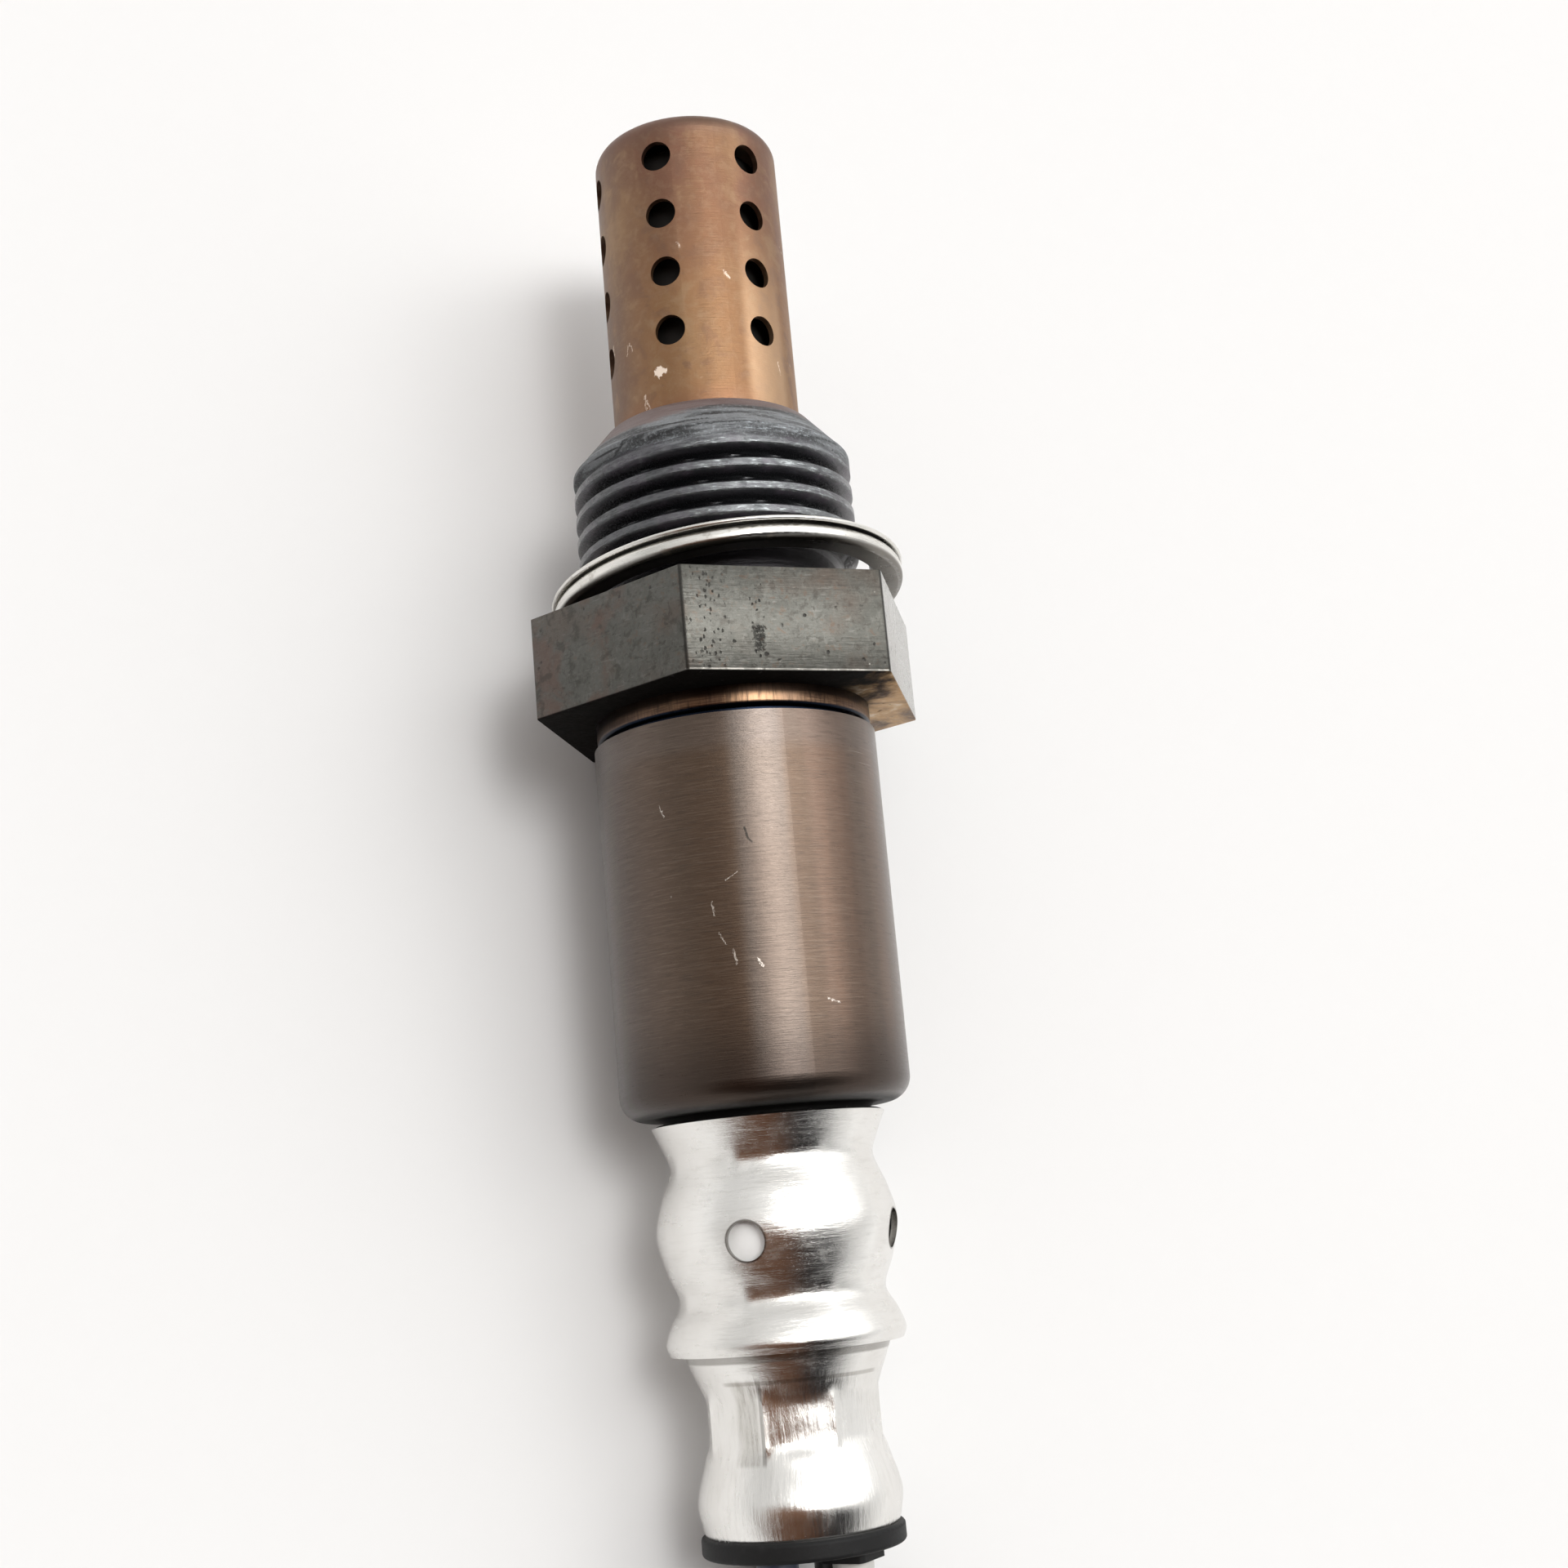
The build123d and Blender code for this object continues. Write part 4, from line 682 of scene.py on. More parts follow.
# Inner pieces: two colours, how metallic and how rough.
PLAIN_SLOTS = {
    "zirconia": ((0.62, 0.58, 0.5), (0.78, 0.75, 0.68), 0.0, 0.45),
    "heater_ceramic": ((0.6, 0.6, 0.58), (0.74, 0.74, 0.72), 0.0, 0.4),
    "packing_steel": ((0.32, 0.3, 0.28), (0.46, 0.44, 0.41), 1.0, 0.4),
    "talc": ((0.55, 0.53, 0.48), (0.7, 0.68, 0.63), 0.0, 0.8),
    "bush_ceramic": ((0.68, 0.66, 0.62), (0.8, 0.79, 0.75), 0.0, 0.5),
    "contact_alloy": ((0.52, 0.5, 0.46), (0.66, 0.64, 0.6), 1.0, 0.3),
    "filter_ptfe": ((0.9, 0.9, 0.89), (0.96, 0.96, 0.95), 0.0, 0.55),
    "blade_brass": ((0.6, 0.58, 0.54), (0.76, 0.74, 0.7), 1.0, 0.25, True),
}
# Plastics: colour, scale of the grain, how rough and how deep.
SILK_SLOTS = {
    "shrink_plastic": ((0.02, 0.02, 0.021), 2.2, 0.38),
    "tie_nylon": ((0.014, 0.014, 0.015), 1.5, 0.3, 0.01),
    "boot_rubber": ((0.022, 0.022, 0.023), 4.0, 0.62, 0.03),
    "connector_plastic": ((0.03, 0.031, 0.033), 5.0, 0.42),
    "wedge_plastic": ((0.38, 0.055, 0.035), 4.0, 0.4),
    "seal_rubber": ((0.3, 0.095, 0.03), 3.0, 0.5),
}
# Materials that are called otherwise than their slots.
SLOT_FINISHES = {"talc": "pressed_talc", "filter_ptfe": "filter_membrane", "blade_brass": "blade_tin"}
LIBRARY = {}


def fill_library(look):
    """Makes the material of each slot."""
    LIBRARY.update(
        housing_steel=hexagon_finish(), thread=thread_finish(), collar=collar_finish(),
        cover_steel=nose_finish(look), inner_cover_steel=inner_cover_finish(),
        gasket_steel=gasket_finish(), sleeve_steel=sleeve_finish(look), bright_steel=bright_finish(),
        grommet_rubber=rubber_finish(), sleeving_braid=braid_finish())
    for slots, kind in ((PLAIN_SLOTS, plain_finish), (SILK_SLOTS, silk_finish)):
        LIBRARY.update((slot, kind(SLOT_FINISHES.get(slot, slot), *values))
                       for slot, values in slots.items())
    for name in LEADS:
        LIBRARY[f"lead_{name}"] = lead_finish(f"{name}_insulation", tuple(getattr(look, f"{name}_lead")))


# ---------------------------------------------------------------- modelling helpers
def ready():
    """Object mode with nothing selected."""
    if bpy.context.object and bpy.context.object.mode != "OBJECT":
        bpy.ops.object.mode_set(mode="OBJECT")
    bpy.ops.object.select_all(action="DESELECT")


def pick(piece):
    ready()
    piece.select_set(True)
    bpy.context.view_layer.objects.active = piece


def edit_all(piece, operator, **settings):
    """One edit-mode operator on the whole piece."""
    pick(piece)
    bpy.ops.object.mode_set(mode="EDIT")
    bpy.ops.mesh.select_all(action="SELECT")
    operator(**settings)
    bpy.ops.object.mode_set(mode="OBJECT")


def edit_edges(piece, wanted, operator, **settings):
    """One edit-mode operator on the edges for which wanted(edge) holds."""
    pick(piece)
    bpy.ops.object.mode_set(mode="EDIT")
    bpy.ops.mesh.select_mode(type="EDGE")
    bpy.ops.mesh.select_all(action="DESELECT")
    mesh = bmesh.from_edit_mesh(piece.data)
    for edge in mesh.edges:
        if wanted(edge):
            edge.select_set(True)
    mesh.select_flush_mode()
    bmesh.update_edit_mesh(piece.data)
    operator(**settings)
    bpy.ops.object.mode_set(mode="OBJECT")


def apply_modifier(piece, kind, **settings):
    pick(piece)
    modifier = piece.modifiers.new(kind.title(), kind)
    for key, value in settings.items():
        setattr(modifier, key, value)
    bpy.ops.object.modifier_apply(modifier=modifier.name)


def combine(piece, other, operation="DIFFERENCE"):
    """Cuts another shape out of a piece, or joins or meets it, and deletes the other."""
    apply_modifier(piece, "BOOLEAN", operation=operation, solver="EXACT", object=other)
    bpy.data.objects.remove(other)


def add_block(centre, size):
    ready()
    bpy.ops.mesh.primitive_cube_add(size=1.0, location=centre, scale=size)
    return bpy.context.object


def break_edges(piece, width, segments=2):
    apply_modifier(piece, "BEVEL", width=width, segments=segments, limit_method="ANGLE",
                   angle_limit=math.radians(40.0), use_clamp_overlap=True)


def linked_object(name, data):
    piece = bpy.data.objects.new(name, data)
    bpy.context.scene.collection.objects.link(piece)
    return piece


def merged_copy(node, name):
    """A copy of a node's mesh with its loose triangles joined up."""
    pick(frame["nodes"][node])
    bpy.ops.object.duplicate()
    piece = bpy.context.object
    piece.name = name
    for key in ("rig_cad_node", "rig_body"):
        if key in piece:
            del piece[key]
    piece.parent = None
    edit_all(piece, bpy.ops.mesh.remove_doubles, threshold=1e-6)
    if piece.data.has_custom_normals:
        bpy.ops.mesh.customdata_custom_splitnormals_clear()
    return piece


def ringed_blank(name, rows, sides, place_at, lying=False, radius=7.0, ends="NGON"):
    """A cylinder of many rings, whose points go where place_at(row, turn) says. It stands along z with its
    turn from x, or lies along y with its turn from z."""
    ready()
    bpy.ops.mesh.primitive_cylinder_add(vertices=sides, radius=radius, depth=rows, end_fill_type=ends,
                                        rotation=(-math.pi / 2 if lying else 0.0, 0.0, 0.0))
    blank = bpy.context.object
    blank.name = name
    bpy.ops.object.transform_apply(rotation=True)
    along = 1 if lying else 2
    edit_edges(blank, lambda edge: abs(edge.verts[0].co[along] - edge.verts[1].co[along]) > 1.0,
               bpy.ops.mesh.subdivide, number_cuts=rows - 1)
    for vertex in blank.data.vertices:
        x, y, z = vertex.co
        turn = math.atan2(x, z) if lying else math.atan2(y, x)
        vertex.co = place_at(round(vertex.co[along] + rows / 2), turn)
    return blank


def turned_place(station, radius, turn):
    return radius * math.sin(turn), station, radius * math.cos(turn)


def finish_piece(piece, slot, *nodes, smooth=32.0):
    """Ends a piece: place in its mesh, smooth faces, material, slot, body and the nodes it replaces."""
    pick(piece)
    bpy.ops.object.transform_apply(location=True, rotation=True, scale=True)
    if piece.type == "MESH":
        bpy.ops.object.shade_smooth_by_angle(angle=math.radians(smooth))
    piece.data.materials.clear()
    piece.data.materials.append(LIBRARY[slot])
    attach(piece, "root")
    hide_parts(*nodes)
    ready()


def dress_node(node, name, slot, width, cuts=(), home=FLOOR_FRAME, segments=2, added=None):
    """Replaces a node by its copy with blocks cut out, one added and its edges broken, in the home frame."""
    piece = merged_copy(node, name)
    piece.data.transform(home.inverted())
    for centre, size in cuts:
        combine(piece, add_block(centre, size))
    if added:
        block = add_block(*added)
        break_edges(block, 0.2)
        combine(piece, block, "UNION")
    break_edges(piece, width, segments)
    piece.data.transform(home)
    finish_piece(piece, slot, node)


# ---------------------------------------------------------------- sizes and colours
def length_property(name, description, millimetres):
    return bpy.props.FloatProperty(name=name, description=description, default=millimetres * MM,
                                   precision=5, unit="LENGTH")


def colour_property(name, description, colour):
    return bpy.props.FloatVectorProperty(name=name, description=description, default=colour,
                                         subtype="COLOR", size=3, min=0.0, max=1.0)


class SensorLook(bpy.types.PropertyGroup):
    """Sizes and colours of the dressed sensor."""

    thread_pitch: length_property("Thread pitch", "Advance of the thread in one turn", THREAD_PITCH)
    crest_radius: length_property("Crest radius", "Outer radius of the thread", CREST_RADIUS)
    root_radius: length_property("Root radius", "Radius at the bottom of the thread", ROOT_RADIUS)
    edge_break: length_property("Edge break", "Width of the worn edges of the hexagon", 0.1)
    lead_diameter: length_property("Lead diameter", "Outer diameter of one insulated lead", 2.4)
    sleeving_diameter: length_property("Sleeving diameter", "Outer diameter of the woven sleeving", 6.2)
    blue_lead: colour_property("Blue lead", "Insulation of the blue lead", (0.03, 0.04, 0.075))
    white_lead: colour_property("White lead", "Insulation of the white lead", (0.62, 0.61, 0.58))
    black_lead: colour_property("Black lead", "Insulation of the black lead", (0.014, 0.014, 0.015))
    grey_lead: colour_property("Grey lead", "Insulation of the grey lead", (0.2, 0.2, 0.2))
    nose_colour: colour_property("Outer cover", "Tempered steel of the outer cover", (0.285, 0.158, 0.082))
    sleeve_colour: colour_property("Sleeve", "Brown oxide of the sleeve", (0.11, 0.072, 0.049))
    floor_colour: colour_property("Floor", "Paper of the floor", (0.76, 0.76, 0.76))


# ---------------------------------------------------------------- camera and leads
# The camera in the sensor's frame, in millimetres: its place, and its right, up and back axes.
CAMERA_PLACE = (-41.15, -38.13, 116.92)
CAMERA_AXES = ((0.9384, -0.0897, 0.3337), (0.0103, 0.9726, 0.2325), (-0.3454, -0.2147, 0.9136))
CAMERA_LENS = 46.21

# Leads in millimetres on the floor: azimuth at the grommet, two middles and its place in the collar.
LEADS = {
    "blue": (-51.0, (-4.0, -60.0, 6.9), (-3.2, -68.0, 6.1), (-1.26, 5.06)),
    "white": (39.0, (3.6, -59.5, 7.5), (3.3, -67.5, 6.2), (1.26, 5.06)),
    "black": (129.0, (4.3, -60.0, 3.0), (3.4, -68.5, 2.7), (1.26, 2.54)),
    "grey": (219.0, (-3.8, -60.5, 2.7), (-3.3, -68.5, 2.6), (-1.26, 2.54)),
}
GROMMET_REAR = -56.3
LEAD_CIRCLE = 3.14
LEAD_END_RUN = 7.5
COLLAR_MOUTH = -84.0

# The sleeving in millimetres on the floor, from the collar round the tied hank to the connector. The hank's
# way out is mirrored on its way back.
HANK = ((-3.26, -142.0, 4.05), (-3.26, -156.0, 4.05), (-14.0, -176.0, 3.3), (-19.8, -186.3, 3.15),
        (-18.7, -198.1, 3.12), (-11.3, -207.1, 3.12))
SLEEVING_ROUTE = (
    (0.0, -98.0, 3.8), (0.0, -110.0, 3.8), (-3.9, -126.0, 4.05), *HANK, (0.0, -210.6, 3.12),
    *((-x, y, z) for x, y, z in reversed(HANK)), (8.22, -124.5, 8.0), (11.8, -112.0, 8.0))


def route_curve(name, route, diameter):
    """A smooth curve with the route's points as its control points."""
    data = bpy.data.curves.new(name, "CURVE")
    data.dimensions = "3D"
    spline = data.splines.new("NURBS")
    spline.points.add(len(route) - 1)
    for point, place in zip(spline.points, route):
        point.co = (*place, 1.0)
    spline.order_u = 3
    spline.use_endpoint_u = True
    spline.resolution_u = 16
    data.bevel_depth = diameter / 2
    data.bevel_resolution = 7
    data.use_fill_caps = True
    return linked_object(name, data)


def route_points(route):
    """Points read from the smooth line of a route, and their length."""
    line = route_curve("route", route, 0.0)
    line.data.use_fill_caps = False
    line.data.splines[0].resolution_u = 24
    bpy.context.view_layer.update()
    graph = bpy.context.evaluated_depsgraph_get()
    mesh = bpy.data.meshes.new_from_object(line.evaluated_get(graph))
    points = [vertex.co.copy() for vertex in mesh.vertices]
    bpy.data.objects.remove(line)
    bpy.data.meshes.remove(mesh)
    return points, round(sum((b - a).length for a, b in zip(points, points[1:])), 4)


class SENSOR_OT_camera(bpy.types.Operator):
    """Stand the camera over the rear of the sensor"""
    bl_idname = "sensor.camera"
    bl_label = "Camera"

    def execute(self, context):
        data = bpy.data.cameras.new("Camera")
        data.lens = CAMERA_LENS
        data.sensor_width = 36.0
        data.sensor_fit = "HORIZONTAL"
        data.clip_start, data.clip_end = 0.005, 20.0
        camera = linked_object("Camera", data)
        turn = SENSOR_FRAME.to_3x3().normalized()
        axes = Matrix([turn @ Vector(axis) for axis in CAMERA_AXES])
        camera.matrix_world = (Matrix.Translation(SENSOR_FRAME @ Vector(CAMERA_PLACE))
                               @ axes.transposed().to_4x4())
        context.scene.camera = camera
        return {"FINISHED"}


class SENSOR_OT_leads(bpy.types.Operator):
    """Lay the four leads from the grommet to the collar of the sleeving"""
    bl_idname = "sensor.leads"
    bl_label = "Leads"

    def execute(self, context):
        diameter = context.scene.sensor_look.lead_diameter
        for name, (azimuth, first, second, (column, row)) in LEADS.items():
            turn = math.radians(azimuth)
            start = SENSOR_FRAME @ Vector(turned_place(GROMMET_REAR, LEAD_CIRCLE, turn))
            end = Vector((column, COLLAR_MOUTH, row)) * MM
            route = [start, start - NOSE_WAY * LEAD_END_RUN * MM, Vector(first) * MM, Vector(second) * MM,
                     end + Vector((0.0, LEAD_END_RUN, 0.0)) * MM, end]
            lead = route_curve(f"{name}_lead", route, diameter)
            finish_piece(lead, f"lead_{name}", f"lead_{name}")
            route_points(route)[1]
        return {"FINISHED"}


class SENSOR_OT_sleeving(bpy.types.Operator):
    """Weave the sleeving round its folded hank to the connector"""
    bl_idname = "sensor.sleeving"
    bl_label = "Sleeving"

    def execute(self, context):
        diameter = context.scene.sensor_look.sleeving_diameter
        route = [Vector(place) * MM for place in SLEEVING_ROUTE]
        line, length = route_points(route)
        sleeving = woven_tube("woven_sleeving", line, diameter / 2)
        finish_piece(sleeving, "sleeving_braid", "sleeving_front", "sleeving_back", "sleeving_hank",
                     smooth=60.0)
        return {"FINISHED"}


def woven_tube(name, line, radius, sides=40):
    """A closed tube along a line, with a UV map in millimetres along and turns around."""
    mesh = bpy.data.meshes.new(name)
    build = bmesh.new()
    uv = build.loops.layers.uv.new("UVMap")
    rings, along, run = [], [], 0.0
    side = Vector((0.0, 0.0, 1.0))
    for index, point in enumerate(line):
        before, after = line[max(index - 1, 0)], line[min(index + 1, len(line) - 1)]
        way = (after - before).normalized()
        side = (side - way * side.dot(way)).normalized()
        other = way.cross(side)
        rings.append([build.verts.new(point + (side * math.cos(turn) + other * math.sin(turn)) * radius)
                      for turn in (math.tau * step / sides for step in range(sides))])
        if index:
            run += (point - line[index - 1]).length
        along.append(run / MM)
    for index in range(len(rings) - 1):
        for step in range(sides):
            corners = ((index, step), (index, step + 1), (index + 1, step + 1), (index + 1, step))
            face = build.faces.new([rings[at][turn % sides] for at, turn in corners])
            for loop, (at, turn) in zip(face.loops, corners):
                loop[uv].uv = (along[at], turn / sides)
    for ring in (rings[0][::-1], rings[-1]):
        build.faces.new(ring)
    bmesh.ops.recalc_face_normals(build, faces=build.faces)
    build.to_mesh(mesh)
    build.free()
    return linked_object(name, mesh)


# ---------------------------------------------------------------- the threaded housing
THREAD_REAR, THREAD_FRONT = 2.95, 11.2
THREAD_ROWS, THREAD_SIDES = 104, 216
BLANK_REAR, BLANK_FRONT, BLANK_RADIUS = -13.0, 14.0, 14.0
FIRST_ROOT = CREST_STATION - THREAD_PITCH / 2
# The thread runs out over this stretch of its turn, in degrees.
RUN_OUT = (240.0, 350.0)


def thread_radius(station, azimuth, pitch, crest, root):
    """Radius of the helical profile: soft roots, narrow crests and a run-out towards the nose."""
    turns = (station - FIRST_ROOT) / pitch - azimuth / 360.0
    groove = math.floor(turns + 0.5)
    run = azimuth + 360.0 * groove
    depth = 1.0 - eased((run - RUN_OUT[0]) / (RUN_OUT[1] - RUN_OUT[0]))
    flank = min(abs(turns - groove) * 2.0 / 0.74, 1.0)
    flank = 0.62 * flank + 0.38 * eased(flank)
    return crest + 0.03 - (crest + 0.03 - root) * (1.0 - flank) * depth


class SENSOR_OT_housing(bpy.types.Operator):
    """Cut the helical thread into the housing and break the edges of its hexagon"""
    bl_idname = "sensor.housing"
    bl_label = "Threaded housing"

    def execute(self, context):
        look = context.scene.sensor_look
        profile = [value / MM for value in (look.thread_pitch, look.crest_radius, look.root_radius)]

        def cutter_place(row, turn):
            if row <= 1:
                return turned_place((BLANK_REAR, THREAD_REAR)[row], BLANK_RADIUS, turn)
            if row >= THREAD_ROWS - 1:
                return turned_place((THREAD_FRONT, BLANK_FRONT)[row - THREAD_ROWS + 1], BLANK_RADIUS, turn)
            share = (row - 2) / (THREAD_ROWS - 4)
            station = THREAD_REAR + 0.02 + share * (THREAD_FRONT - THREAD_REAR - 0.04)
            return turned_place(station, thread_radius(station, math.degrees(turn), *profile), turn)

        housing = merged_copy("housing", "threaded_housing")
        cutter = ringed_blank("thread_form", THREAD_ROWS, THREAD_SIDES, cutter_place, True, BLANK_RADIUS)
        cutter.data.transform(SENSOR_FRAME)
        combine(housing, cutter, "INTERSECT")
        if len(housing.data.polygons) < 5000:
            raise RuntimeError("the thread was not cut")
        inward = SENSOR_FRAME.inverted()

        def on_hexagon(edge):
            ends = [inward @ vertex.co for vertex in edge.verts]
            return (all(-6.47 <= end.y <= 0.01 and math.hypot(end.x, end.z) >= 10.9 for end in ends)
                    and len(edge.link_faces) == 2 and edge.calc_face_angle(0.0) > math.radians(25.0))

        edit_edges(housing, on_hexagon, bpy.ops.mesh.bevel, offset=look.edge_break, segments=2,
                   affect="EDGES", clamp_overlap=True)
        finish_piece(housing, "housing_steel", "housing")
        # Materials by zone: thread, hexagon and collar.
        housing.data.materials.append(LIBRARY["thread"])
        housing.data.materials.append(LIBRARY["collar"])
        for face in housing.data.polygons:
            place = inward @ face.center
            if place.y > 0.02:
                face.material_index = 1
            elif place.y < -6.47 or (math.hypot(place.x, place.z) < 8.7 and place.y < -6.4):
                face.material_index = 2
        return {"FINISHED"}


# ---------------------------------------------------------------- drawn cover and crimped casing
# Outer radii by station; the crimp has eight jaw marks.
CASING_TUBE = ((-29.6, 5.63), (-32.7, 5.63), (-33.5, 5.3), (-43.4, 5.3))
CASING_BELL = ((-43.4, 5.3), (-44.55, 6.18), (-45.6, 5.92), (-47.2, 5.3), (-48.9, 5.22),
               (-50.6, 5.3), (-53.3, 6.0), (-54.75, 5.8), (-55.15, 5.66))
COVER_SHELL = ((-31.65, 7.1), (-33.18, 6.44), (-34.2, 6.2), (-36.1, 6.85), (-38.0, 7.26),
               (-40.17, 6.78), (-41.95, 6.2), (-43.22, 6.78), (-44.35, 7.16), (-44.95, 6.95))
RIDGE_AZIMUTH = -38.5
JAW_PITCH = 360.0 / 8


def hump(offset, width):
    """1 at no offset, falling smoothly to 0 past the width."""
    return math.exp(-(offset / width) ** 2)


def along_profile(profile, station):
    """Radius on a smooth line through a profile's rings."""
    last = len(profile) - 2
    index = next((i for i in range(last) if station >= profile[i + 1][0]), last)
    (first, low), (second, high) = profile[index], profile[index + 1]
    span = second - first

    def slope(at):
        left, right = profile[max(at - 1, 0)], profile[min(at + 1, len(profile) - 1)]
        return (right[1] - left[1]) / (right[0] - left[0])

    share = (station - first) / span
    cube, square = share ** 3, share ** 2
    return (low * (2 * cube - 3 * square + 1) + high * (3 * square - 2 * cube)
            + span * (slope(index) * (cube - 2 * square + share) + slope(index + 1) * (cube - square)))


def from_jaw(azimuth):
    """Degrees from the middle of the nearest jaw mark."""
    return abs((azimuth - RIDGE_AZIMUTH) % JAW_PITCH - JAW_PITCH / 2)


def casing_radius(station, azimuth):
    if station > CASING_BELL[0][0]:
        for (first, low), (second, high) in zip(CASING_TUBE, CASING_TUBE[1:]):
            if station >= second - 1e-6:
                return low + (high - low) * (station - first) / (second - first)
    off = from_jaw(azimuth)
    held = min(max((-46.95 - station) / 0.75, 0.0), 1.0) * min(max((station + 50.85) / 0.75, 0.0), 1.0)
    mark = -0.17 + 0.25 * (off / (JAW_PITCH / 2)) ** 2 + 0.06 * hump(JAW_PITCH / 2 - off, 2.0)
    return along_profile(CASING_BELL, station) + eased(held) * mark


def cover_radius(station, azimuth):
    near = hump(station + 34.1, 0.75) + hump(station + 41.9, 0.75)
    ridge = 0.085 * hump(JAW_PITCH / 2 - from_jaw(azimuth), 4.5) - 0.035
    return along_profile(COVER_SHELL, station) + near * ridge


def drawn_shell(name, node, profiles, radius_at, rows, sides, wall, vent, reach):
    """An open tube of sheet on a drawn profile, thickened inwards and drilled with four vents."""
    front, rear = profiles[0][0][0], profiles[-1][-1][0]

    def shell_place(row, turn):
        station = rear + row / rows * (front - rear)
        return turned_place(station, radius_at(station, math.degrees(turn)), turn)

    shell = ringed_blank(name, rows, sides, shell_place, lying=True, ends="NOTHING")
    apply_modifier(shell, "SOLIDIFY", thickness=wall, offset=-1.0, use_even_offset=True)
    for step in range(4):
        turn = math.radians(VENT_AZIMUTH + 90.0 * step)
        ready()
        bpy.ops.mesh.primitive_cylinder_add(
            vertices=48, radius=vent, depth=reach, rotation=(0.0, turn, 0.0),
            location=(math.sin(turn) * reach * 0.75, VENT_STATION, math.cos(turn) * reach * 0.75))
        combine(shell, bpy.context.object)
    shell.data.transform(SENSOR_FRAME)
    finish_piece(shell, "bright_steel", node)


class SENSOR_OT_shells(bpy.types.Operator):
    """Spin the crimped rear casing and the vented filter cover"""
    bl_idname = "sensor.shells"
    bl_label = "Casing and filter cover"

    def execute(self, context):
        drawn_shell("crimped_casing", "rear_casing", (CASING_TUBE, CASING_BELL), casing_radius,
                    rows=150, sides=160, wall=0.4, vent=0.8, reach=7.0)
        drawn_shell("vented_cover", "filter_cover", (COVER_SHELL,), cover_radius,
                    rows=96, sides=176, wall=0.35, vent=VENT_RADIUS, reach=8.0)
        return {"FINISHED"}


# ---------------------------------------------------------------- connector, collar and tie
# The connector's own frame in millimetres: x to its side, y up, z out of its socket.
CONNECTOR_TURN = math.radians(16.0)
CONNECTOR_WAY = Vector((math.sin(CONNECTOR_TURN), math.cos(CONNECTOR_TURN), 0.0))
CONNECTOR_BASE = Vector((0.0118, -0.112, 0.008))
UP = Vector((0.0, 0.0, 1.0))
CONNECTOR_FRAME = (Matrix.Translation(CONNECTOR_BASE)
                   @ Matrix((UP.cross(CONNECTOR_WAY), UP, CONNECTOR_WAY)).transposed().to_4x4()
                   @ Matrix.Scale(MM, 4))
BOOT_LENGTH, BOOT_ROWS, BOOT_GROOVES = 12.0, 60, (2.3, 4.7, 7.1)
BOOT_MOUTH, BOOT_WIDTH, BOOT_HEIGHT = 4.55, 9.48, 6.98
COLLAR_LENGTH, COLLAR_ROWS, COLLAR_RADIUS = 14.0, 90, 3.72
HOUSING_SIDE, HOUSING_TOP = 10.5, 8.0
ROUND_SIDES = 72
TIE_STATION = -151.0


def boot_place(row, turn):
    """The boot: round at the sleeving, squared at the housing, with soft ribs across."""
    along = row / BOOT_ROWS * BOOT_LENGTH
    opened = eased((along - 1.6) / 9.6)
    half_width, half_height = (BOOT_MOUTH + (side - BOOT_MOUTH) * opened
                               for side in (BOOT_WIDTH, BOOT_HEIGHT))
    power = 2.0 + 4.5 * opened
    cosine, sine = math.cos(turn), math.sin(turn)
    reach = (abs(cosine / half_width) ** power + abs(sine / half_height) ** power) ** (-1.0 / power)
    reach -= 0.42 * sum(hump(along - groove, 0.42) for groove in BOOT_GROOVES) + 0.35 * hump(along, 0.3)
    return reach * cosine, reach * sine, along


def collar_place(row, turn):
    """Shrunk tube: lobed over the four leads at its mouth, rumpled, and drawn down on the sleeving."""
    along = row / COLLAR_ROWS * COLLAR_LENGTH
    lobes = 0.5 - 0.5 * math.cos(4.0 * turn)
    rim = 0.28 * hump(along - 0.35, 0.35) - 0.3 * hump(along, 0.16)
    rear = max(0.0, (along - (COLLAR_LENGTH - 0.8)) / 0.8)
    rumple = 0.05 * math.sin(along * 2.1 + 1.3 * math.sin(turn * 2.0)) + 0.03 * math.sin(5.0 * turn + along)
    reach = (COLLAR_RADIUS - hump(along, 2.6) * (0.22 + 0.42 * (1.0 - lobes)) + rim + rumple
             - 0.35 * rear * rear)
    reach = min(reach, 3.8)
    return -reach * math.cos(turn), COLLAR_MOUTH - along, 3.8 + reach * math.sin(turn)


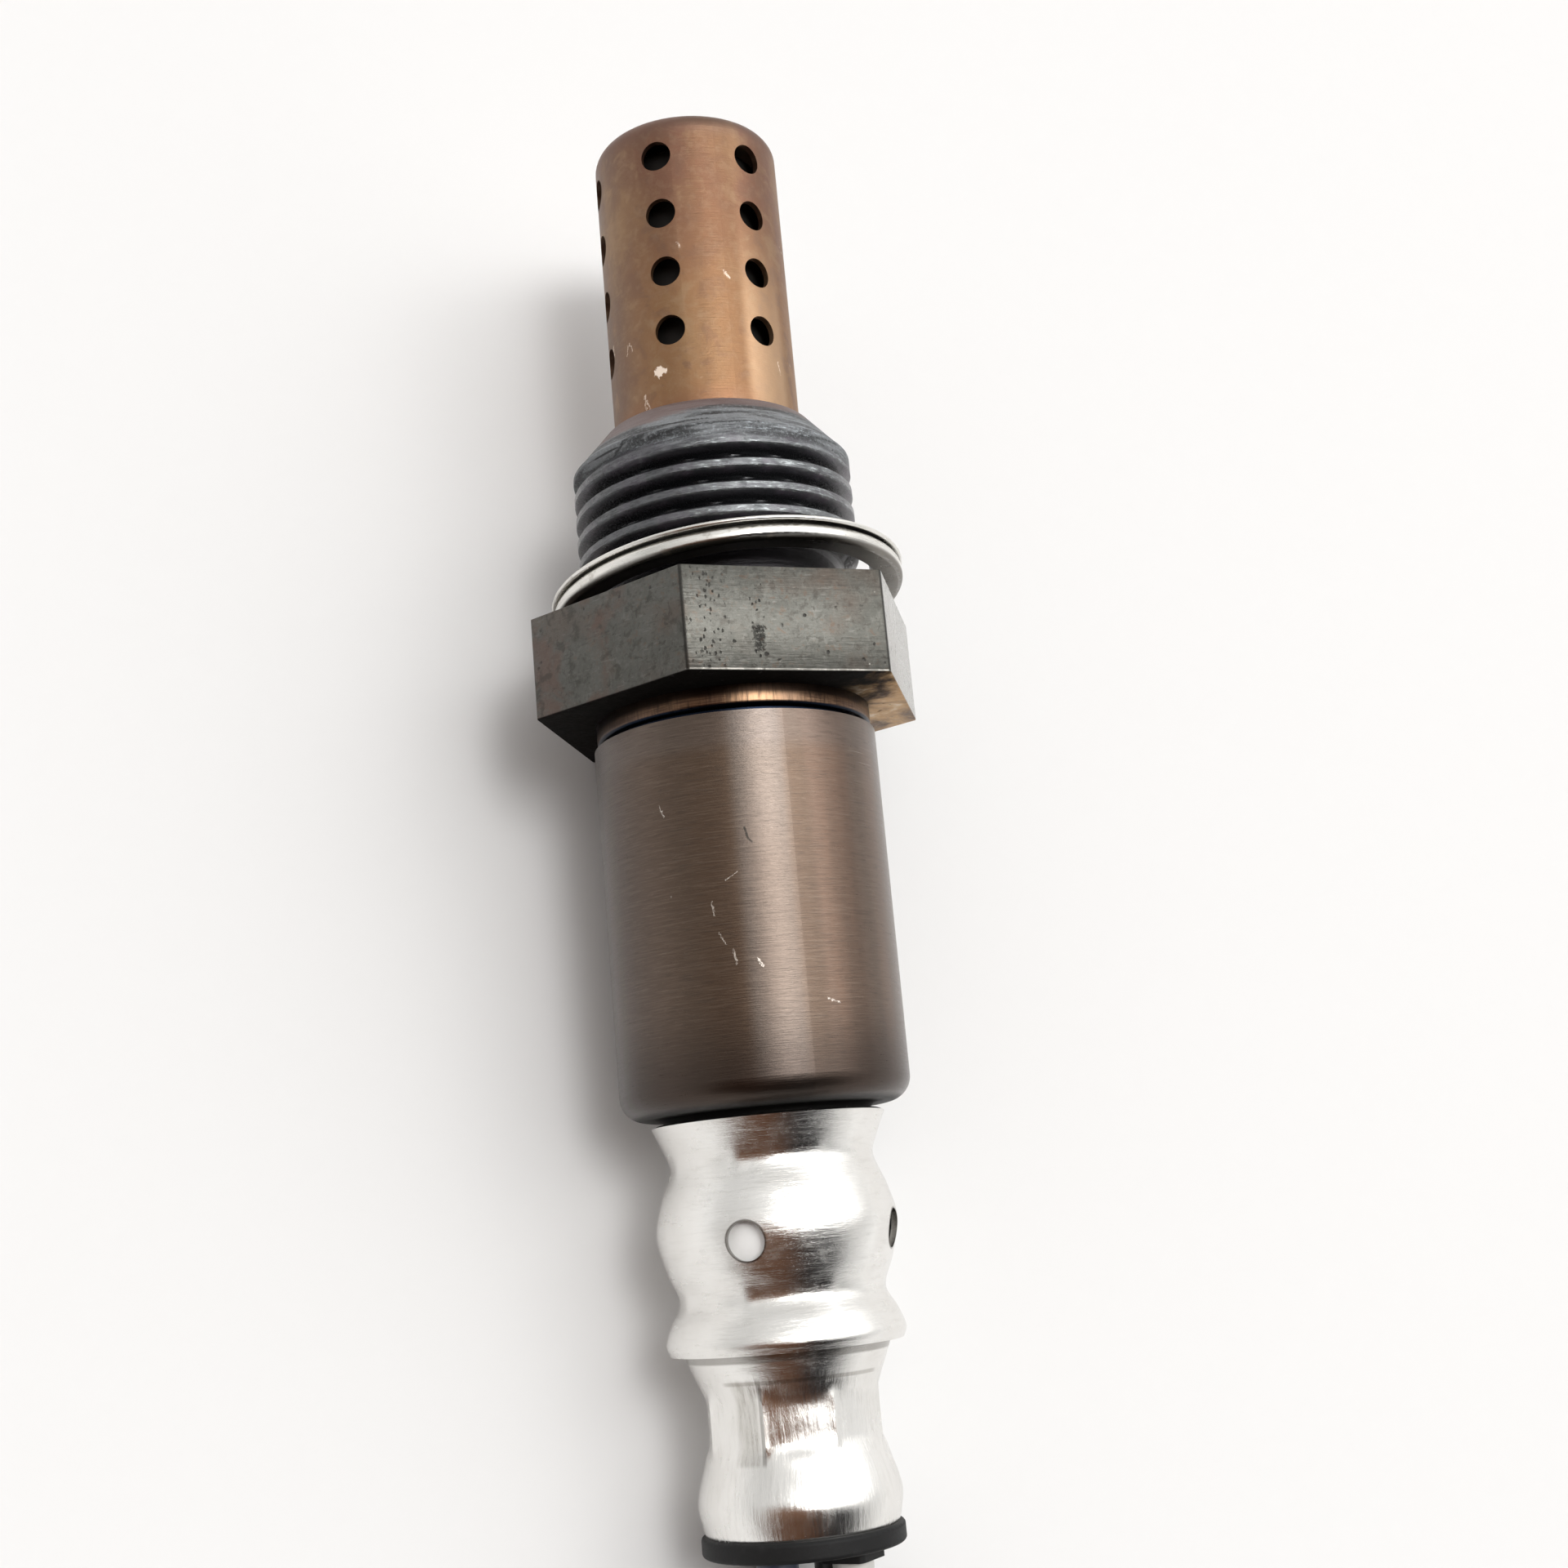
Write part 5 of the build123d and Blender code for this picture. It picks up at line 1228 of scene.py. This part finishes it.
class SENSOR_OT_connector(bpy.types.Operator):
    """Finish the connector: ribbed boot, grooved housing and bevelled latch"""
    bl_idname = "sensor.connector"
    bl_label = "Connector"

    def execute(self, context):
        boot = ringed_blank("connector_boot_ribbed", BOOT_ROWS, ROUND_SIDES, boot_place)
        boot.data.transform(CONNECTOR_FRAME)
        finish_piece(boot, "boot_rubber", "connector_boot", smooth=50.0)
        side, top = HOUSING_SIDE, HOUSING_TOP
        # Four grip grooves round the housing, and a shallow recess on each side behind its mouth.
        cuts = [((x, y, 14.6 + 1.9 * step), (*size, 0.8)) for step in range(4) for x, y, size in (
            (-7.0, top, (5.0, 0.9)), (7.0, top, (5.0, 0.9)), (0.0, -top, (15.0, 0.9)),
            (-side, 0.0, (0.9, 10.0)), (side, 0.0, (0.9, 10.0)))]
        cuts += [((-side, 0.0, 33.4), (0.7, 9.0, 5.4)), ((side, 0.0, 33.4), (0.7, 9.0, 5.4)),
                 ((0.0, -top, 33.0), (12.0, 0.7, 6.4))]
        dress_node("connector_housing", "connector_shell", "connector_plastic", 0.22, cuts, CONNECTOR_FRAME)
        grips = [((0.0, top + 3.2, 25.6 + 1.25 * step), (5.4, 0.7, 0.55)) for step in range(4)]
        grips += [((0.0, top + 2.4, 21.6), (2.6, 3.0, 3.6))]
        dress_node("connector_latch", "connector_latch_arm", "connector_plastic", 0.18, grips,
                   CONNECTOR_FRAME)
        dress_node("connector_blades", "connector_blade_set", "blade_brass", 0.16, segments=1)
        dress_node("connector_wedge", "connector_wedge_lock", "wedge_plastic", 0.2)
        return {"FINISHED"}


class SENSOR_OT_bindings(bpy.types.Operator):
    """Shrink the collar on the sleeving and draw the tie round the hank"""
    bl_idname = "sensor.bindings"
    bl_label = "Collar and tie"

    def execute(self, context):
        collar = ringed_blank("shrunk_collar", COLLAR_ROWS, ROUND_SIDES, collar_place)
        collar.data.transform(FLOOR_FRAME)
        edit_all(collar, bpy.ops.mesh.normals_make_consistent, inside=False)
        finish_piece(collar, "shrink_plastic", "sleeving_collar", smooth=50.0)
        # Ladder teeth across the outside of the band, and the slot through the head for the tail.
        teeth = [((-2.9 + 0.58 * step, TIE_STATION, 8.16), (0.26, 2.3, 0.35)) for step in (0, 10)]
        teeth += [((-3.2 + 0.64 * step, TIE_STATION, -0.02), (0.26, 2.3, 0.5)) for step in range(11)]
        teeth += [((0.0, TIE_STATION, 11.4), (1.5, 3.0, 3.2))]
        dress_node("cable_tie", "cable_tie_ladder", "tie_nylon", 0.14, teeth,
                   added=((0.0, TIE_STATION, 10.9), (1.1, 2.7, 4.6)))
        return {"FINISHED"}


class SENSOR_OT_finishes(bpy.types.Operator):
    """Give each carried-over piece the finish of its material slot"""
    bl_idname = "sensor.finishes"
    bl_label = "Finishes"

    def execute(self, context):
        for piece in frame["nodes"].values():
            finish = LIBRARY[piece.data.materials[0].name]
            for place in piece.material_slots:
                place.material = finish
        return {"FINISHED"}


# ---------------------------------------------------------------- stage
WINDOW_WAY = (0.64, 0.4, 0.66)
LAMP, WINDOW = 6.5, 1.0
LIGHT_PLACE = Vector((0.5, 0.24, 0.8))
LIGHT_SIZE, LIGHT_POWER, LIGHT_COLOUR = 0.34, 0.42, (1.0, 0.98, 0.95)


class SENSOR_OT_stage(bpy.types.Operator):
    """Lay the pale floor and hang the soft lights"""
    bl_idname = "sensor.stage"
    bl_label = "Stage"

    def execute(self, context):
        colour = tuple(context.scene.sensor_look.floor_colour)
        ready()
        bpy.ops.mesh.primitive_circle_add(vertices=96, radius=3.0, fill_type="NGON")
        floor = context.object
        floor.name = "floor"
        paper = Finish("floor_paper")
        paper.on_floor()
        grain = paper.cloud(0.6, 3.0)
        floor.data.materials.append(paper.surface(
            paper.mix(grain, tuple(c * 0.99 for c in colour), colour),
            Roughness=0.9, Normal=paper.bump(grain, 0.02, 0.1)))
        soft_sky(context.scene)
        data = bpy.data.lights.new("window_light", "AREA")
        data.shape = "DISK"
        data.size, data.energy, data.color = LIGHT_SIZE, LIGHT_POWER, LIGHT_COLOUR
        lamp = linked_object("window_light", data)
        lamp.location = LIGHT_PLACE
        lamp.visible_camera = False
        lamp.rotation_euler = (-LIGHT_PLACE).to_track_quat("-Z", "Y").to_euler()
        context.scene.view_settings.view_transform = "Standard"
        return {"FINISHED"}


def soft_sky(scene):
    """A white studio with a soft glow overhead and a dark stand behind, which show in the steel."""
    world = scene.world = bpy.data.worlds.new("Studio")
    sky = Finish(world)
    way = sky.vector("NORMALIZE", sky.node("ShaderNodeTexCoord", out="Generated"))
    x, y, z = sky.parts(way)
    # The dark stand reaches from overhead down behind the sensor; its left half is brown.
    behind = (0.09 - x.step(-0.45, 0.3) * 0.38 - y).step(-0.03, 0.13)
    over = (z - x.step(0.0, 0.6) * 0.18).step(0.15, 0.3)
    stand = behind * over * (x.step(-0.95, -0.72) * x.step(0.86, 0.6))
    brown = x.step(0.08, -0.16)
    dark = sky.mix(brown, (0.014, 0.013, 0.014), (0.11, 0.052, 0.029))
    dark = sky.mix(brown * y.step(-0.6, -0.2), dark, (0.2, 0.103, 0.06))
    # A long soft lamp above, brightest a little to the right, and a paler window beyond it.
    lamp = x.step(-0.44, 0.04) - x.step(0.09, 0.46) * 0.6 - x.step(0.5, 0.86) * 0.4
    lamp = lamp * 0.8 + (x.step(-0.16, 0.04) - x.step(0.08, 0.28)) * 1.1
    lamp = lamp * y.step(-0.16, 0.02) * y.step(0.37, 0.2) * z.step(0.1, 0.3)
    window = sky.vector("DOT_PRODUCT", way, tuple(Vector(WINDOW_WAY).normalized()), out="Value")
    ground = (0.97 - z.step(0.08, 0.24) * 0.27 + z.step(0.3, 0.8) * 0.22
              - x.step(-0.4, -0.9) * 0.06 + x.step(0.3, 0.9) * 0.08)
    strength = (ground + lamp * LAMP + window.step(0.84, 1.0) * WINDOW) * (1.0 - stand) + stand * 0.95
    colour = sky.mix(stand, (1.0, 0.995, 0.985), dark)
    light = sky.node("ShaderNodeBackground", {}, {"Color": colour, "Strength": strength})
    sky.show(light, "ShaderNodeOutputWorld")
    world.cycles.sampling_method = "MANUAL"
    world.cycles.sample_map_resolution = 1024


# ---------------------------------------------------------------- panel and main
class SENSOR_PT_panel(bpy.types.Panel):
    """Buttons for the pieces of the sensor"""
    bl_idname = "SENSOR_PT_panel"
    bl_label = "Oxygen Sensor"
    bl_space_type = "VIEW_3D"
    bl_region_type = "UI"
    bl_category = "Sensor"

    def draw(self, context):
        column = self.layout.column()
        for step in STEPS:
            column.operator(step.bl_idname)
        for name in SensorLook.__annotations__:
            column.prop(context.scene.sensor_look, name)


STEPS = (SENSOR_OT_camera, SENSOR_OT_connector, SENSOR_OT_bindings, SENSOR_OT_leads,
         SENSOR_OT_sleeving, SENSOR_OT_housing, SENSOR_OT_shells, SENSOR_OT_finishes, SENSOR_OT_stage)
CLASSES = (SensorLook, *STEPS, SENSOR_PT_panel)


def register():
    for one in CLASSES:
        bpy.utils.register_class(one)
    bpy.types.Scene.sensor_look = bpy.props.PointerProperty(type=SensorLook)


def unregister():
    del bpy.types.Scene.sensor_look
    for one in reversed(CLASSES):
        bpy.utils.unregister_class(one)


def main():
    register()
    fill_library(bpy.context.scene.sensor_look)
    for step in STEPS:
        group, name = step.bl_idname.split(".")
        getattr(getattr(bpy.ops, group), name)()


if __name__ == "__main__":
    main()
